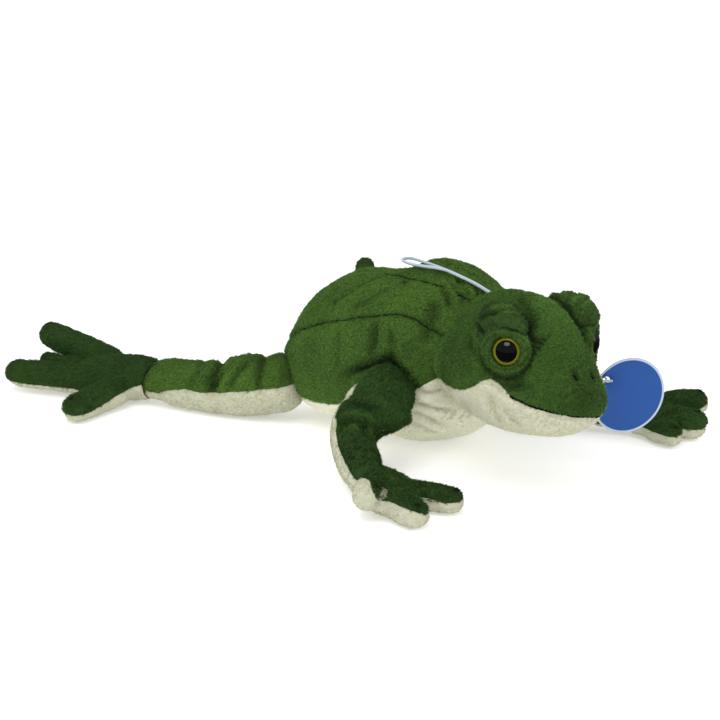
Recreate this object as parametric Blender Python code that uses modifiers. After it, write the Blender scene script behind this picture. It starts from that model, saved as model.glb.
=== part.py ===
"""Plush frog lying on its belly: stuffed body, head and limbs with eyes, thread, hanging loop and swing tag.

The frog looks along -Y, its left side is +X, and it lies on the plane z = 0. Every size in the tables is in
millimetres and is turned into metres where a mesh is made.
"""
import math

import bmesh
import bpy
from mathutils import Euler, Matrix, Vector

MM = 0.001
GAP = 0.3  # between neighbours
MIDDLE = (21.04, 32.45, 0.0)  # middle of the footprint, which becomes the origin

# Joint centres
NECK = (6.0, -54.0, 72.0)
NECK_BALL = 40.6
SHOULDER = {"right": (-52.0, -40.0, 44.0), "left": (61.0, -40.0, 44.0)}
SHOULDER_BALL = 19.9
WRIST = {"right": (-103.0, -80.0, 15.5), "left": (106.0, -98.0, 15.5)}
WRIST_BALL = 12.9
HIP = {"right": (-42.0, 74.0, 24.0), "left": (48.0, 74.0, 24.0)}
HIP_BALL = 20.4
ANKLE = {"right": (-81.0, 149.0, 15.5), "left": (94.0, 146.0, 15.5)}
ANKLE_BALL = 13.7
BALL_ROOM = 0.6  # between a ball end and the hollow round it

# How the head is held: degrees to the frog's right, and left side down
HEAD_TURN = 14.0
HEAD_ROLL = 3.0

# Body sections: y, middle x, half width, height of the widest place, top, bottom
BODY_SECTIONS = (
    (87.0, 3.0, 20.0, 42.0, 68.0, 24.0),
    (75.0, 3.0, 41.5, 38.0, 89.0, 8.0),
    (50.0, 4.0, 52.5, 38.0, 101.0, -0.4),
    (22.0, 6.0, 58.0, 42.0, 108.0, -1.3),
    (-8.0, 8.0, 61.0, 44.0, 113.5, -1.3),
    (-34.0, 9.0, 58.0, 48.0, 112.5, -0.4),
    (-54.0, 7.0, 37.0, 62.0, 104.5, 30.0),
    (-72.0, 6.0, 27.0, 68.0, 98.0, 44.0),
)
BODY_REAR = (3.0, 93.0, 46.0)
BODY_FRONT = (6.0, -86.0, 72.0)
BACK_FULLNESS = 0.75  # below 1 the back is fuller than an ellipse
BACK_LEAN = 13.0  # how far the top leans to the frog's left

# The seam between green back and cream belly, seen from the side: y, z
BELLY_SEAM = ((130.0, 14.0), (60.0, 13.0), (20.0, 16.0), (-15.0, 27.0), (-45.0, 44.0), (-70.0, 60.0),
              (-130.0, 90.0))

# Head sections, from the neck's centre: forward, half width, widest height, top, bottom
HEAD_SECTIONS = (
    (16.0, 34.0, -2.0, 26.0, -24.0),
    (30.0, 41.5, -4.0, 37.5, -30.0),
    (46.0, 46.0, -4.0, 44.0, -33.0),
    (68.0, 46.5, -4.0, 47.0, -33.5),
    (88.0, 42.0, -5.0, 46.5, -31.5),
    (106.0, 37.5, -6.0, 35.0, -29.5),
    (122.0, 31.0, -7.0, 21.0, -26.0),
    (133.0, 21.0, -7.0, 10.0, -20.0),
)
HEAD_REAR = (12.0, 0.0)
HEAD_TIP = (140.0, -6.0)
HEAD_TAPER = 0.27  # how much narrower the crown is than the cheeks

# The mouth seam, from the neck's centre: forward, z
MOUTH_SEAM = ((-60.0, -6.0), (40.0, -6.0), (82.0, -3.0), (102.0, -4.0), (117.0, -6.5), (129.0, -9.0),
              (190.0, -9.5))
MOUTH_CORNER = 105.0  # how far forward the corners of the mouth lie
MOUTH_STOPS = (112.0, 119.0, 126.0, 131.5)  # how far forward the thread's points lie
THREAD_RADIUS = 0.9
NOSTRIL = (6.0, 130.5, 8.3)  # left, forward, up from the neck's centre
NOSTRIL_REACH = (1.2, -2.4, 1.0)  # half of the stitch, left, forward and up
LIP = (13.0, 3.6, 1.6)  # the thread's point beside the tip: left, how far back, and how far back the tip's is

# Eyes, from the neck's centre: left, forward, up
EYE_SEAT = (31.0, 93.0, 20.5)
EYE_TURN = 46.0  # degrees outwards
EYE_LIFT = 8.0
IRIS_RADIUS = 8.3
SHANK_RADIUS = 2.4
BORE_TOP = 3.0  # of the bore for the shank, along the line of sight
BORE_LENGTH = 16.0
DISC_ROOM_TOP = 8.0  # of the room for the iris disc
DISC_ROOM_LENGTH = 9.8
WASHER_RADIUS = 6.5
WASHER_DEPTH = -9.3  # of its front, along the line of sight
WASHER_THICK = 1.6

# Profiles turned round the eye's line of sight, from the front down the outer side: radius, height
IRIS_PROFILE = ((0.0, 0.2), (6.5, 0.2), (6.55, 1.5), (7.6, 1.1), (8.3, 0.3), (8.3, -1.5), (2.4, -1.5),
                (2.4, -12.0), (0.0, -12.0))
PUPIL_PROFILE = ((0.0, 4.5), (2.0, 4.3), (3.9, 3.7), (5.5, 2.7), (6.2, 1.6), (6.2, 0.5), (0.0, 0.5))
PAD_PROFILE = ((0.0, 1.3), (8.8, 1.4), (10.6, 1.9), (13.4, 0.4), (14.6, -3.0), (13.2, -6.5), (9.0, -9.0),
               (0.0, -9.0))
PAD_ROOM_PROFILE = ((0.0, 6.1), (9.0, 6.0), (11.8, 1.9), (13.9, 0.6), (15.1, -3.0), (13.6, -6.8), (9.2, -9.4),
                    (0.0, -9.4))
EYE_SIDES = 16

# Brow roll: left, forward, up from the neck's centre, half width, half height
BROW_STATIONS = ((20.0, 65.0, 34.5, 9.0, 6.5), (23.5, 78.0, 35.6, 11.5, 8.8), (22.5, 91.0, 34.2, 9.2, 7.0))

# Arms and legs in the world: x, y, z, half width, half height
ARM_STATIONS = {
    "right": ((-52.0, -40.0, 44.0, 20.0, 20.0), (-63.0, -37.0, 35.0, 21.0, 20.5),
              (-76.0, -40.0, 25.5, 20.0, 20.0), (-89.0, -56.0, 18.5, 17.0, 17.5),
              (-101.0, -76.5, 15.5, 13.5, 13.8)),
    "left": ((61.0, -40.0, 44.0, 20.0, 20.0), (74.0, -43.0, 35.0, 20.5, 20.5),
             (85.5, -52.0, 25.5, 20.0, 20.0), (95.0, -71.0, 18.5, 17.0, 17.5),
             (104.5, -94.0, 15.5, 13.5, 13.8)),
}
LEG_STATIONS = {
    "right": ((-42.0, 74.0, 24.0, 20.5, 20.5), (-53.0, 91.0, 19.2, 20.5, 20.0),
              (-63.0, 110.0, 16.9, 18.0, 18.5), (-72.0, 129.0, 16.3, 18.0, 17.7),
              (-79.5, 146.0, 15.5, 14.5, 14.8)),
    "left": ((48.0, 74.0, 24.0, 20.5, 20.5), (60.0, 91.0, 19.2, 20.5, 20.0), (72.0, 109.0, 16.9, 18.0, 18.5),
             (83.0, 127.0, 16.3, 18.0, 17.7), (92.5, 142.5, 15.5, 14.5, 14.8)),
}

# Hands and feet, in their own frame: outwards, forward from the joint, up from the floor, half sizes
HAND_PALM = ((0.0, 8.0, 13.2, 13.0, 12.5), (0.0, 19.0, 11.3, 18.5, 12.5), (0.8, 31.0, 9.4, 17.0, 10.5))
HAND_FINGERS = {
    "inner": ((-9.0, 22.0, 9.2, 9.4, 9.4), (-23.0, 47.0, 8.2, 8.6, 8.9)),
    "middle": ((-1.0, 26.0, 9.2, 9.6, 9.4), (-2.0, 45.5, 8.1, 8.9, 8.8)),
    "outer": ((8.0, 18.0, 10.5, 9.5, 9.5), (24.0, 30.0, 14.5, 8.6, 8.6)),
}
HAND_AIM = {"right": 1.0, "left": 29.0}  # degrees outwards from -Y
FOOT_PALM = ((0.0, 10.0, 13.3, 14.0, 14.0), (0.0, 29.0, 13.0, 22.0, 14.0), (0.0, 52.0, 11.0, 22.0, 12.0))
FOOT_TOES = {
    "first": ((-12.0, 40.0, 15.0, 11.0, 11.0), (-24.5, 96.0, 28.0, 9.6, 9.6)),
    "second": ((-4.0, 50.0, 13.0, 8.0, 8.0), (-5.5, 91.0, 19.0, 7.3, 7.3)),
    "third": ((7.0, 48.0, 10.5, 11.3, 11.0), (12.0, 103.0, 9.6, 10.5, 10.3)),
    "fourth": ((12.0, 24.0, 11.0, 11.0, 11.0), (57.5, 35.0, 9.2, 10.0, 9.8)),
}
FOOT_AIM = {"right": 25.0, "left": 60.0}  # degrees outwards from +Y
TOE_LIFT = {"right": 0.0, "left": 12.0}  # how much higher the first toe's tip is held

# Hanging loop: from the neck seam over the back and round to the seam again
LOOP_DIAMETER = 2.0
LOOP_ROUTE = ((18.4, -65.0, 101.4), (16.6, -61.7, 103.3), (13.7, -52.5, 107.3), (11.0, -42.9, 110.2),
              (9.2, -33.5, 112.3), (9.0, -22.2, 113.4), (11.0, -6.8, 113.4), (13.8, 4.0, 112.5),
              (13.9, 8.6, 111.8), (11.6, 10.4, 111.4), (8.4, 7.0, 111.5), (5.6, 0.5, 111.8),
              (4.0, -8.0, 112.4),
              (4.2, -18.8, 113.2), (5.6, -26.5, 113.5), (7.2, -34.0, 113.2), (9.0, -43.4, 111.1),
              (11.8, -53.0, 108.2), (14.7, -62.2, 104.2), (16.4, -65.4, 102.4))

# Swing tag
TAG_CENTRE = (58.5, -142.0, 46.0)
TAG_LONG = 52.0
TAG_SHORT = 45.0
TAG_CARD = 1.0
TAG_FACING = -42.0  # the way the card looks, degrees from -Y towards -X
TAG_TILT = 62.0  # of the long axis, from the horizontal
TAG_HOLE = (-13.5, 10.0)  # from the card's middle, across and up
TAG_HOLE_RADIUS = 2.2
TAG_CORNERS = 40
HOLE_CORNERS = 16
TIE_RADIUS = 0.6
TIE_BAR_RADIUS = 0.78
TIE_BAR_HALF = 3.5
TIE_FRONT = 2.2  # how far the bar stands in front of the card's middle
TIE_BACK = 3.5  # how far behind the card the tie turns
TIE_BEND = (-4.0, -3.0)  # where it turns towards the cheek: across the card and behind it
TIE_END = (32.0, -109.0, 57.0)  # inside the head's left cheek

CUT_HALF_WIDTH = 130.0  # of the blocks that part green from cream
BELLY_CUT_DEPTH = 60.0
THROAT_CUT_DEPTH = 120.0
FLOOR_BLOCK = ((-300.0, -300.0, -60.0), (300.0, 400.0, 0.0))

GREEN = (0.07, 0.16, 0.03)
DARK_GREEN = (0.04, 0.1, 0.02)
CREAM = (0.78, 0.78, 0.62)
OLIVE = (0.3, 0.26, 0.02)
BLACK = (0.01, 0.01, 0.01)
WHITE = (0.75, 0.8, 0.86)
BLUE = (0.02, 0.14, 0.5)


def clear_scene():
    for thing in list(bpy.data.objects):
        bpy.data.objects.remove(thing, do_unlink=True)


def new_collection(name):
    collection = bpy.data.collections.new(name)
    bpy.context.scene.collection.children.link(collection)
    return collection


def new_material(name, colour, roughness, metallic=0.0):
    material = bpy.data.materials.new(name)
    material.use_nodes = True
    shader = material.node_tree.nodes["Principled BSDF"]
    shader.inputs["Base Color"].default_value = (*colour, 1.0)
    shader.inputs["Roughness"].default_value = roughness
    shader.inputs["Metallic"].default_value = metallic
    return material


def in_metres(point):
    return Vector(point) * MM


def new_object(name, mesh, collection, material=None, origin=(0.0, 0.0, 0.0)):
    """Object from a mesh in world millimetre coordinates, with its origin moved to a stated point."""
    mesh.transform(Matrix.Translation(-in_metres(origin)))
    thing = bpy.data.objects.new(name, mesh)
    thing.location = in_metres(origin)
    collection.objects.link(thing)
    if material:
        mesh.materials.append(material)
        mesh.shade_smooth()
    else:
        thing.hide_render = True
        thing.display_type = "WIRE"
    return thing


def loft_mesh(name, rings, first, last):
    """Closed cage through rings of points, with a pole at each end."""
    form = bmesh.new()
    loops = [[form.verts.new(in_metres(point)) for point in ring] for ring in rings]
    for near, far in zip(loops, loops[1:]):
        for k, corner in enumerate(near):
            after = (k + 1) % len(near)
            form.faces.new((corner, near[after], far[after], far[k]))
    for pole, loop in ((first, loops[0]), (last, loops[-1])):
        tip = form.verts.new(in_metres(pole))
        for k, corner in enumerate(loop):
            form.faces.new((corner, loop[(k + 1) % len(loop)], tip))
    bmesh.ops.recalc_face_normals(form, faces=form.faces)
    mesh = bpy.data.meshes.new(name)
    form.to_mesh(mesh)
    form.free()
    return mesh


def egg_section(half_width, widest, top, bottom, sides, taper=0.0, fullness=1.0, lean=0.0):
    """Points of a closed section, across and up: two half ellipses that meet at the widest height."""
    grown = 1 / math.cos(math.pi / sides)
    points = []
    for k in range(sides):
        angle = 2 * math.pi * k / sides
        rise = math.sin(angle)
        height = (top - widest) if rise > 0 else (widest - bottom)
        if rise > 0:
            rise = rise ** fullness
        across = half_width * grown * math.cos(angle) * (1 - taper * max(rise, 0.0))
        points.append((across + lean * max(rise, 0.0), widest + height * grown * rise))
    return points


def tube_rings(stations, sides, round_start=True):
    """Rings round a bent line: each station is x, y, z, half width, half height. The ends are rounded."""
    grown = 1 / math.cos(math.pi / sides)
    middles = [Vector(station[:3]) for station in stations]
    ways = []
    for k in range(len(middles)):
        before, after = middles[max(k - 1, 0)], middles[min(k + 1, len(middles) - 1)]
        ways.append((after - before).normalized())
    spread = [(middle, way, station[3], station[4]) for middle, way, station in zip(middles, ways, stations)]
    start, end = spread[0], spread[-1]
    opening = (start[0] - start[1] * start[3] * 0.7, start[1], start[2] * 0.8, start[3] * 0.8)
    closing = (end[0] + end[1] * end[3] * 0.7, end[1], end[2] * 0.8, end[3] * 0.8)
    rings = []
    for middle, way, wide, high in ([opening] if round_start else []) + spread + [closing]:
        side = way.cross(Vector((0, 0, 1))).normalized()
        up = side.cross(way).normalized()
        turns = [2 * math.pi * k / sides for k in range(sides)]
        rings.append([middle + (side * wide * math.cos(t) + up * high * math.sin(t)) * grown for t in turns])
    first = start[0] - start[1] * start[3] * (1.12 if round_start else 0.4)
    last = end[0] + end[1] * end[3] * 1.12
    return rings, first, last


def tube_mesh(name, stations, sides, round_start=True):
    return loft_mesh(name, *tube_rings(stations, sides, round_start))


def subdivide(thing, levels=1):
    rounding = thing.modifiers.new("Rounding", "SUBSURF")
    rounding.levels = levels
    rounding.render_levels = levels
    return thing


def combine(thing, tool, operation="DIFFERENCE", solver="EXACT"):
    cut = thing.modifiers.new(operation.title() + " " + tool.name, "BOOLEAN")
    cut.operation = operation
    cut.object = tool
    cut.solver = solver


def ball_cutter(name, centre, radius, cutters):
    form = bmesh.new()
    bmesh.ops.create_uvsphere(form, u_segments=16, v_segments=8, radius=(radius + BALL_ROOM) * MM)
    mesh = bpy.data.meshes.new(name)
    form.to_mesh(mesh)
    form.free()
    thing = new_object(name, mesh, cutters)
    thing.location = in_metres(centre)
    return thing


def block_cutter(name, lowest, highest, cutters):
    form = bmesh.new()
    bmesh.ops.create_cube(form, size=1.0)
    size = in_metres(highest) - in_metres(lowest)
    middle = (in_metres(highest) + in_metres(lowest)) / 2
    bmesh.ops.scale(form, vec=size, verts=form.verts)
    bmesh.ops.translate(form, vec=middle, verts=form.verts)
    mesh = bpy.data.meshes.new(name)
    form.to_mesh(mesh)
    form.free()
    return new_object(name, mesh, cutters)


def rod_mesh(name, radius, length, sides=16):
    """Round bar along Z from z = 0 down to -length."""
    form = bmesh.new()
    bmesh.ops.create_cone(form, cap_ends=True, segments=sides, radius1=radius * MM, radius2=radius * MM,
                          depth=length * MM)
    bmesh.ops.translate(form, vec=(0, 0, -length * MM / 2), verts=form.verts)
    mesh = bpy.data.meshes.new(name)
    form.to_mesh(mesh)
    form.free()
    return mesh


def side_profile_cutter(name, seam, lift, depth, forward_sign, cutters):
    """Everything under a seam drawn from the side: the seam runs along Y and is carried right across X."""
    top = [Vector((0, forward_sign * y, z + lift)) for y, z in seam]
    low = [Vector((0, point.y, -depth)) for point in reversed(top)]
    outline = top + low
    form = bmesh.new()
    near = [form.verts.new(in_metres((-CUT_HALF_WIDTH, point.y, point.z))) for point in outline]
    form.faces.new(near)
    pushed = bmesh.ops.extrude_face_region(form, geom=form.faces[:])
    moved = [item for item in pushed["geom"] if isinstance(item, bmesh.types.BMVert)]
    bmesh.ops.translate(form, vec=(2 * CUT_HALF_WIDTH * MM, 0, 0), verts=moved)
    bmesh.ops.recalc_face_normals(form, faces=form.faces)
    mesh = bpy.data.meshes.new(name)
    form.to_mesh(mesh)
    form.free()
    return new_object(name, mesh, cutters)


def smooth_path(points, steps):
    """Catmull-Rom curve through hand-placed points, with a number of steps between each pair."""
    knots = [Vector(point) for point in points]
    knots = [2 * knots[0] - knots[1]] + knots + [2 * knots[-1] - knots[-2]]
    path = []
    for a, b, c, d in zip(knots, knots[1:], knots[2:], knots[3:]):
        for k in range(steps):
            t = k / steps
            path.append(0.5 * (2 * b + (c - a) * t + (2 * a - 5 * b + 4 * c - d) * t ** 2
                               + (3 * b - 3 * c + d - a) * t ** 3))
    path.append(knots[-2])
    return path


def wire_mesh(name, path, radius, resolution=2):
    """Closed tube along a path of points, made as a bevelled curve and welded at its caps."""
    curve = bpy.data.curves.new(name, "CURVE")
    curve.dimensions = "3D"
    curve.bevel_depth = radius * MM
    curve.bevel_resolution = resolution
    curve.use_fill_caps = True
    spline = curve.splines.new("POLY")
    spline.points.add(len(path) - 1)
    for knot, point in zip(spline.points, path):
        knot.co = (*in_metres(point), 1.0)
    holder = bpy.data.objects.new(name + "_curve", curve)
    bpy.context.scene.collection.objects.link(holder)
    bpy.context.view_layer.update()
    mesh = bpy.data.meshes.new_from_object(holder.evaluated_get(bpy.context.evaluated_depsgraph_get()))
    form = bmesh.new()
    form.from_mesh(mesh)
    bmesh.ops.remove_doubles(form, verts=form.verts, dist=1e-6)
    bmesh.ops.recalc_face_normals(form, faces=form.faces)
    form.to_mesh(mesh)
    form.free()
    bpy.data.objects.remove(holder, do_unlink=True)
    bpy.data.curves.remove(curve)
    mesh.name = name
    return mesh


def body_cage(name):
    rings = []
    for y, middle, half_width, widest, top, bottom in BODY_SECTIONS:
        section = egg_section(half_width, widest, top, bottom, 12, 0.0, BACK_FULLNESS, BACK_LEAN)
        rings.append([(middle + across, y, up) for across, up in section])
    return loft_mesh(name, rings, BODY_REAR, BODY_FRONT)


def head_cage(name):
    """The head's form round the neck's centre, looking along -Y."""
    rings = []
    for forward, half_width, widest, top, bottom in HEAD_SECTIONS:
        section = egg_section(half_width, widest, top, bottom, 12, HEAD_TAPER)
        rings.append([(across, -forward, up) for across, up in section])
    return loft_mesh(name, rings, (0.0, -HEAD_REAR[0], HEAD_REAR[1]), (0.0, -HEAD_TIP[0], HEAD_TIP[1]))


def make_body(parts, cutters, pile, cream, floor_cut):
    """Green back and cream belly, split along the belly seam and dimpled where the limbs are sewn on."""
    above = side_profile_cutter("belly_region", BELLY_SEAM, GAP / 2, BELLY_CUT_DEPTH, 1.0, cutters)
    below = side_profile_cutter("belly_region_low", BELLY_SEAM, -GAP / 2, BELLY_CUT_DEPTH, 1.0, cutters)
    back = subdivide(new_object("body", body_cage("body"), parts, pile))
    belly = subdivide(new_object("belly", body_cage("belly"), parts, cream))
    combine(back, above)
    combine(belly, below, "INTERSECT")
    combine(belly, floor_cut)
    roots = []
    for side in ("right", "left"):
        roots.append(ball_cutter("shoulder_dimple_" + side, SHOULDER[side], SHOULDER_BALL, cutters))
        roots.append(ball_cutter("hip_dimple_" + side, HIP[side], HIP_BALL, cutters))
    for root in roots:
        combine(back, root)
        combine(belly, root)


def in_head(thing, head_pose):
    thing.parent = head_pose
    return thing


def make_head(parts, cutters, pile, cream, head_pose):
    over = in_head(side_profile_cutter("mouth_region", MOUTH_SEAM, GAP / 2, THROAT_CUT_DEPTH, -1.0, cutters),
                   head_pose)
    under = in_head(side_profile_cutter("mouth_region_low", MOUTH_SEAM, -GAP / 2, THROAT_CUT_DEPTH, -1.0,
                                        cutters), head_pose)
    neck = in_head(ball_cutter("neck_hollow", (0, 0, 0), NECK_BALL, cutters), head_pose)
    head = in_head(subdivide(new_object("head", head_cage("head"), parts, pile)), head_pose)
    throat = in_head(subdivide(new_object("throat", head_cage("throat"), parts, cream)), head_pose)
    combine(head, over)
    combine(throat, under, "INTERSECT")
    combine(head, neck)
    combine(throat, neck)
    return head, throat


def head_offset(name, grow, cutters, head_pose):
    """The head's whole form, grown on every side."""
    thing = in_head(subdivide(new_object(name, head_cage(name), cutters)), head_pose)
    shift = thing.modifiers.new("Grow", "DISPLACE")
    shift.strength = grow * MM
    shift.mid_level = 0.0
    return thing


def eye_frame(side):
    """Matrix that takes an eye's own frame, with Z along its line of sight, into the head's frame."""
    sign = 1 if side == "left" else -1
    left, forward, up = EYE_SEAT
    turn = math.radians(EYE_TURN) * sign
    lift = math.radians(EYE_LIFT)
    sight = Vector((math.sin(turn) * math.cos(lift), -math.cos(turn) * math.cos(lift), math.sin(lift)))
    turned = sight.to_track_quat("Z", "Y").to_matrix().to_4x4()
    return Matrix.Translation(in_metres((sign * left, -forward, up))) @ turned


def turned_mesh(name, profile):
    """Profile of radius and height in the XZ plane, to be turned round Z."""
    mesh = bpy.data.meshes.new(name)
    corners = [in_metres((radius, 0.0, height)) for radius, height in profile]
    mesh.from_pydata(corners, [(k, k + 1) for k in range(len(corners) - 1)], [])
    return mesh


def turn_round(thing):
    screw = thing.modifiers.new("Turning", "SCREW")
    screw.axis = "Z"
    screw.steps = EYE_SIDES
    screw.render_steps = EYE_SIDES
    screw.use_merge_vertices = True
    screw.merge_threshold = 1e-5
    return thing


def eye_part(name, mesh, collection, material, seat, head_pose):
    thing = new_object(name, mesh, collection, material)
    thing.parent = head_pose
    thing.matrix_basis = seat
    return thing


def turned_part(name, profile, collection, material, seat, head_pose):
    return turn_round(eye_part(name, turned_mesh(name, profile), collection, material, seat, head_pose))


def make_eye(side, parts, cutters, shades, head, head_pose):
    """Padded collar, brow, iris disc on its shank, domed pupil and the washer that locks the shank inside."""
    seat = eye_frame(side)
    pad = turned_part("eye_pad_" + side, PAD_PROFILE, parts, shades["dark_pile"], seat, head_pose)
    turned_part("iris_" + side, IRIS_PROFILE, parts, shades["olive"], seat, head_pose)
    turned_part("pupil_" + side, PUPIL_PROFILE, parts, shades["black"], seat, head_pose)
    disc_mesh = rod_mesh("iris_room_" + side, IRIS_RADIUS + GAP, DISC_ROOM_LENGTH)
    disc_room = eye_part("iris_room_" + side, disc_mesh, cutters, None,
                         seat @ Matrix.Translation((0, 0, DISC_ROOM_TOP * MM)), head_pose)
    bore = eye_part("shank_bore_" + side, rod_mesh("shank_bore_" + side, SHANK_RADIUS + GAP, BORE_LENGTH),
                    cutters, None, seat @ Matrix.Translation((0, 0, BORE_TOP * MM)), head_pose)
    pocket = eye_part("washer_pocket_" + side,
                      rod_mesh("washer_pocket_" + side, WASHER_RADIUS + GAP, WASHER_THICK + 2 * GAP), cutters,
                      None, seat @ Matrix.Translation((0, 0, (WASHER_DEPTH + GAP) * MM)), head_pose)
    washer = eye_part("washer_" + side, rod_mesh("washer_" + side, WASHER_RADIUS, WASHER_THICK), parts,
                      shades["white"], seat @ Matrix.Translation((0, 0, WASHER_DEPTH * MM)), head_pose)
    combine(washer, bore)
    combine(pad, disc_room)
    combine(pad, bore)
    pad_grown = turned_part("pad_room_" + side, PAD_ROOM_PROFILE, cutters, None, seat, head_pose)
    for tool in (pad_grown, bore, pocket):
        combine(head, tool, solver="MANIFOLD")
    return pad_grown


def make_brow(side, parts, shades, head_pose, pad_grown, head_grown):
    """Padded roll over the eye."""
    sign = 1 if side == "left" else -1
    stations = [(sign * left, -forward, up, wide, high) for left, forward, up, wide, high in BROW_STATIONS]
    brow = in_head(subdivide(new_object("brow_" + side, tube_mesh("brow_" + side, stations, 5), parts,
                                        shades["dark_pile"])), head_pose)
    combine(brow, head_grown)
    combine(brow, pad_grown)
    return brow


def placed(stations, pivot, aim, way, sign, lift=0.0):
    """Stations of a hand or foot in the world: way is -1 for a hand, which points forward, 1 for a foot."""
    turn = math.radians(aim)
    ahead = Vector((sign * math.sin(turn), way * math.cos(turn), 0))
    outward = Vector((sign * math.cos(turn), -way * math.sin(turn), 0))
    moved = []
    for k, (out, forward, up, wide, high) in enumerate(stations):
        share = k / (len(stations) - 1)
        middle = Vector((pivot[0], pivot[1], 0)) + ahead * forward + outward * out
        moved.append((middle.x, middle.y, up + lift * share ** 1.5, wide, high))
    return moved


def make_limb(name, stations, origin, parts, material, floor_cut):
    limb = subdivide(new_object(name, tube_mesh(name, stations, 6), parts, material, origin))
    combine(limb, floor_cut)
    return limb


def make_spread(name, palm, digits, origin, ball, parts, cutters, material, floor_cut):
    """Hand or foot: a palm with its digits joined on, hollowed where it is sewn to the limb."""
    spread = subdivide(new_object(name, tube_mesh(name, palm, 6), parts, material, origin))
    for digit, stations in digits.items():
        mesh = tube_mesh(name + "_" + digit, stations, 4, False)
        tool = subdivide(new_object(name + "_" + digit, mesh, cutters))
        combine(spread, tool, "UNION")
    combine(spread, ball_cutter(name + "_hollow", origin, ball, cutters))
    combine(spread, floor_cut)
    return spread


def make_loop(parts, shade):
    path = smooth_path(LOOP_ROUTE, 3)
    return new_object("hang_loop", wire_mesh("hang_loop", path, LOOP_DIAMETER / 2), parts, shade)


def tag_frame():
    """Matrix of the card: X across it, Y up, Z the way it faces."""
    turn = math.radians(TAG_FACING)
    faces = Vector((math.sin(turn), -math.cos(turn), 0))
    across = Vector((math.cos(turn), math.sin(turn), 0))
    up = Vector((0, 0, 1))
    turned = Matrix((across, up, faces)).transposed().to_4x4()
    return Matrix.Translation(in_metres(TAG_CENTRE)) @ turned


def head_width(forward):
    """Half width of the head's rounded form at its widest height."""
    knots = [(HEAD_REAR[0], 0.0)] + [(row[0], row[1]) for row in HEAD_SECTIONS] + [(HEAD_TIP[0], 0.0)]
    eased = []
    for before, here, after in zip(knots, knots[1:], knots[2:]):
        eased.append(tuple((a + 6 * b + c) / 8 for a, b, c in zip(before, here, after)))
    for near, far in zip(eased, eased[1:]):
        if near[0] <= forward <= far[0]:
            share = (forward - near[0]) / (far[0] - near[0])
            return near[1] + (far[1] - near[1]) * share
    return 0.0


def seam_height(forward):
    for near, far in zip(MOUTH_SEAM, MOUTH_SEAM[1:]):
        if near[0] <= forward <= far[0]:
            return near[1] + (far[1] - near[1]) * (forward - near[0]) / (far[0] - near[0])
    return MOUTH_SEAM[-1][1]


def mouth_path():
    """From the right corner of the mouth round the snout to the left corner."""
    half = []
    for forward in (MOUTH_CORNER, *MOUTH_STOPS):
        half.append((head_width(forward), forward, seam_height(forward)))
    tip = (0.0, HEAD_TIP[0] - LIP[2], seam_height(HEAD_TIP[0]))
    beside = (LIP[0], HEAD_TIP[0] - LIP[1], seam_height(HEAD_TIP[0]))
    right = [(-left, -forward, up) for left, forward, up in half + [beside]]
    other = [(left, -forward, up) for left, forward, up in reversed(half + [beside])]
    return smooth_path(right + [(0.0, -tip[1], tip[2])] + other, 1)


def make_stitches(parts, cutters, shades, head_pose, head, throat):
    """Black thread along the mouth and one stitch for each nostril, laid in grooves of the pile."""
    route = mouth_path()
    in_head(new_object("mouth_thread", wire_mesh("mouth_thread", route, THREAD_RADIUS, 1), parts,
                       shades["thread"]), head_pose)
    groove_mesh = wire_mesh("mouth_groove", route, THREAD_RADIUS + GAP, 1)
    groove = in_head(new_object("mouth_groove", groove_mesh, cutters), head_pose)
    combine(head, groove, solver="MANIFOLD")
    combine(throat, groove)
    for side, sign in (("right", -1), ("left", 1)):
        left, forward, up = NOSTRIL
        aside, ahead, higher = NOSTRIL_REACH
        run = [(sign * (left + k * aside), -forward - k * ahead, up + k * higher) for k in (-1, 0, 1)]
        in_head(new_object("nostril_" + side, wire_mesh("nostril_" + side, run, THREAD_RADIUS, 1), parts,
                           shades["thread"]), head_pose)
        dent = in_head(new_object("nostril_dent_" + side, wire_mesh("nostril_dent_" + side, [
            tuple(2 * a - b for a, b in zip(run[0], run[1])), run[1],
            tuple(2 * a - b for a, b in zip(run[2], run[1]))], THREAD_RADIUS + GAP, 1), cutters), head_pose)
        combine(head, dent, solver="MANIFOLD")


def make_tie(parts, cutters, shades, hole_place, throat):
    """Plastic filament from the cheek through the card's hole, with a cross bar in front of it."""
    hole = hole_place.translation / MM
    faces = (hole_place.to_3x3() @ Vector((0, 0, 1)))
    across = (hole_place.to_3x3() @ Vector((1, 0, 0)))
    front = hole + faces * TIE_FRONT
    back = hole - faces * TIE_BACK
    side = back + across * TIE_BEND[0] + faces * TIE_BEND[1]
    route = smooth_path([front, hole, back, side, TIE_END], 4)
    tie = new_object("tag_tie", wire_mesh("tag_tie", route, TIE_RADIUS, 1), parts, shades["white"])
    half_bar = across * TIE_BAR_HALF
    bar_mesh = wire_mesh("tie_bar", [front - half_bar, front + half_bar], TIE_BAR_RADIUS, 1)
    bar = new_object("tie_bar", bar_mesh, cutters)
    combine(tie, bar, "UNION")
    beyond = Vector(TIE_END) + (Vector(TIE_END) - side).normalized()
    way = smooth_path([side, TIE_END, beyond], 4)
    combine(throat, new_object("tie_way", wire_mesh("tie_way", way, TIE_RADIUS + GAP, 1), cutters))


def add_ring(curve, ring):
    spline = curve.splines.new("POLY")
    spline.points.add(len(ring) - 1)
    for knot, (x, y) in zip(spline.points, ring):
        knot.co = (x * MM, y * MM, 0, 1)
    spline.use_cyclic_u = True


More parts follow.
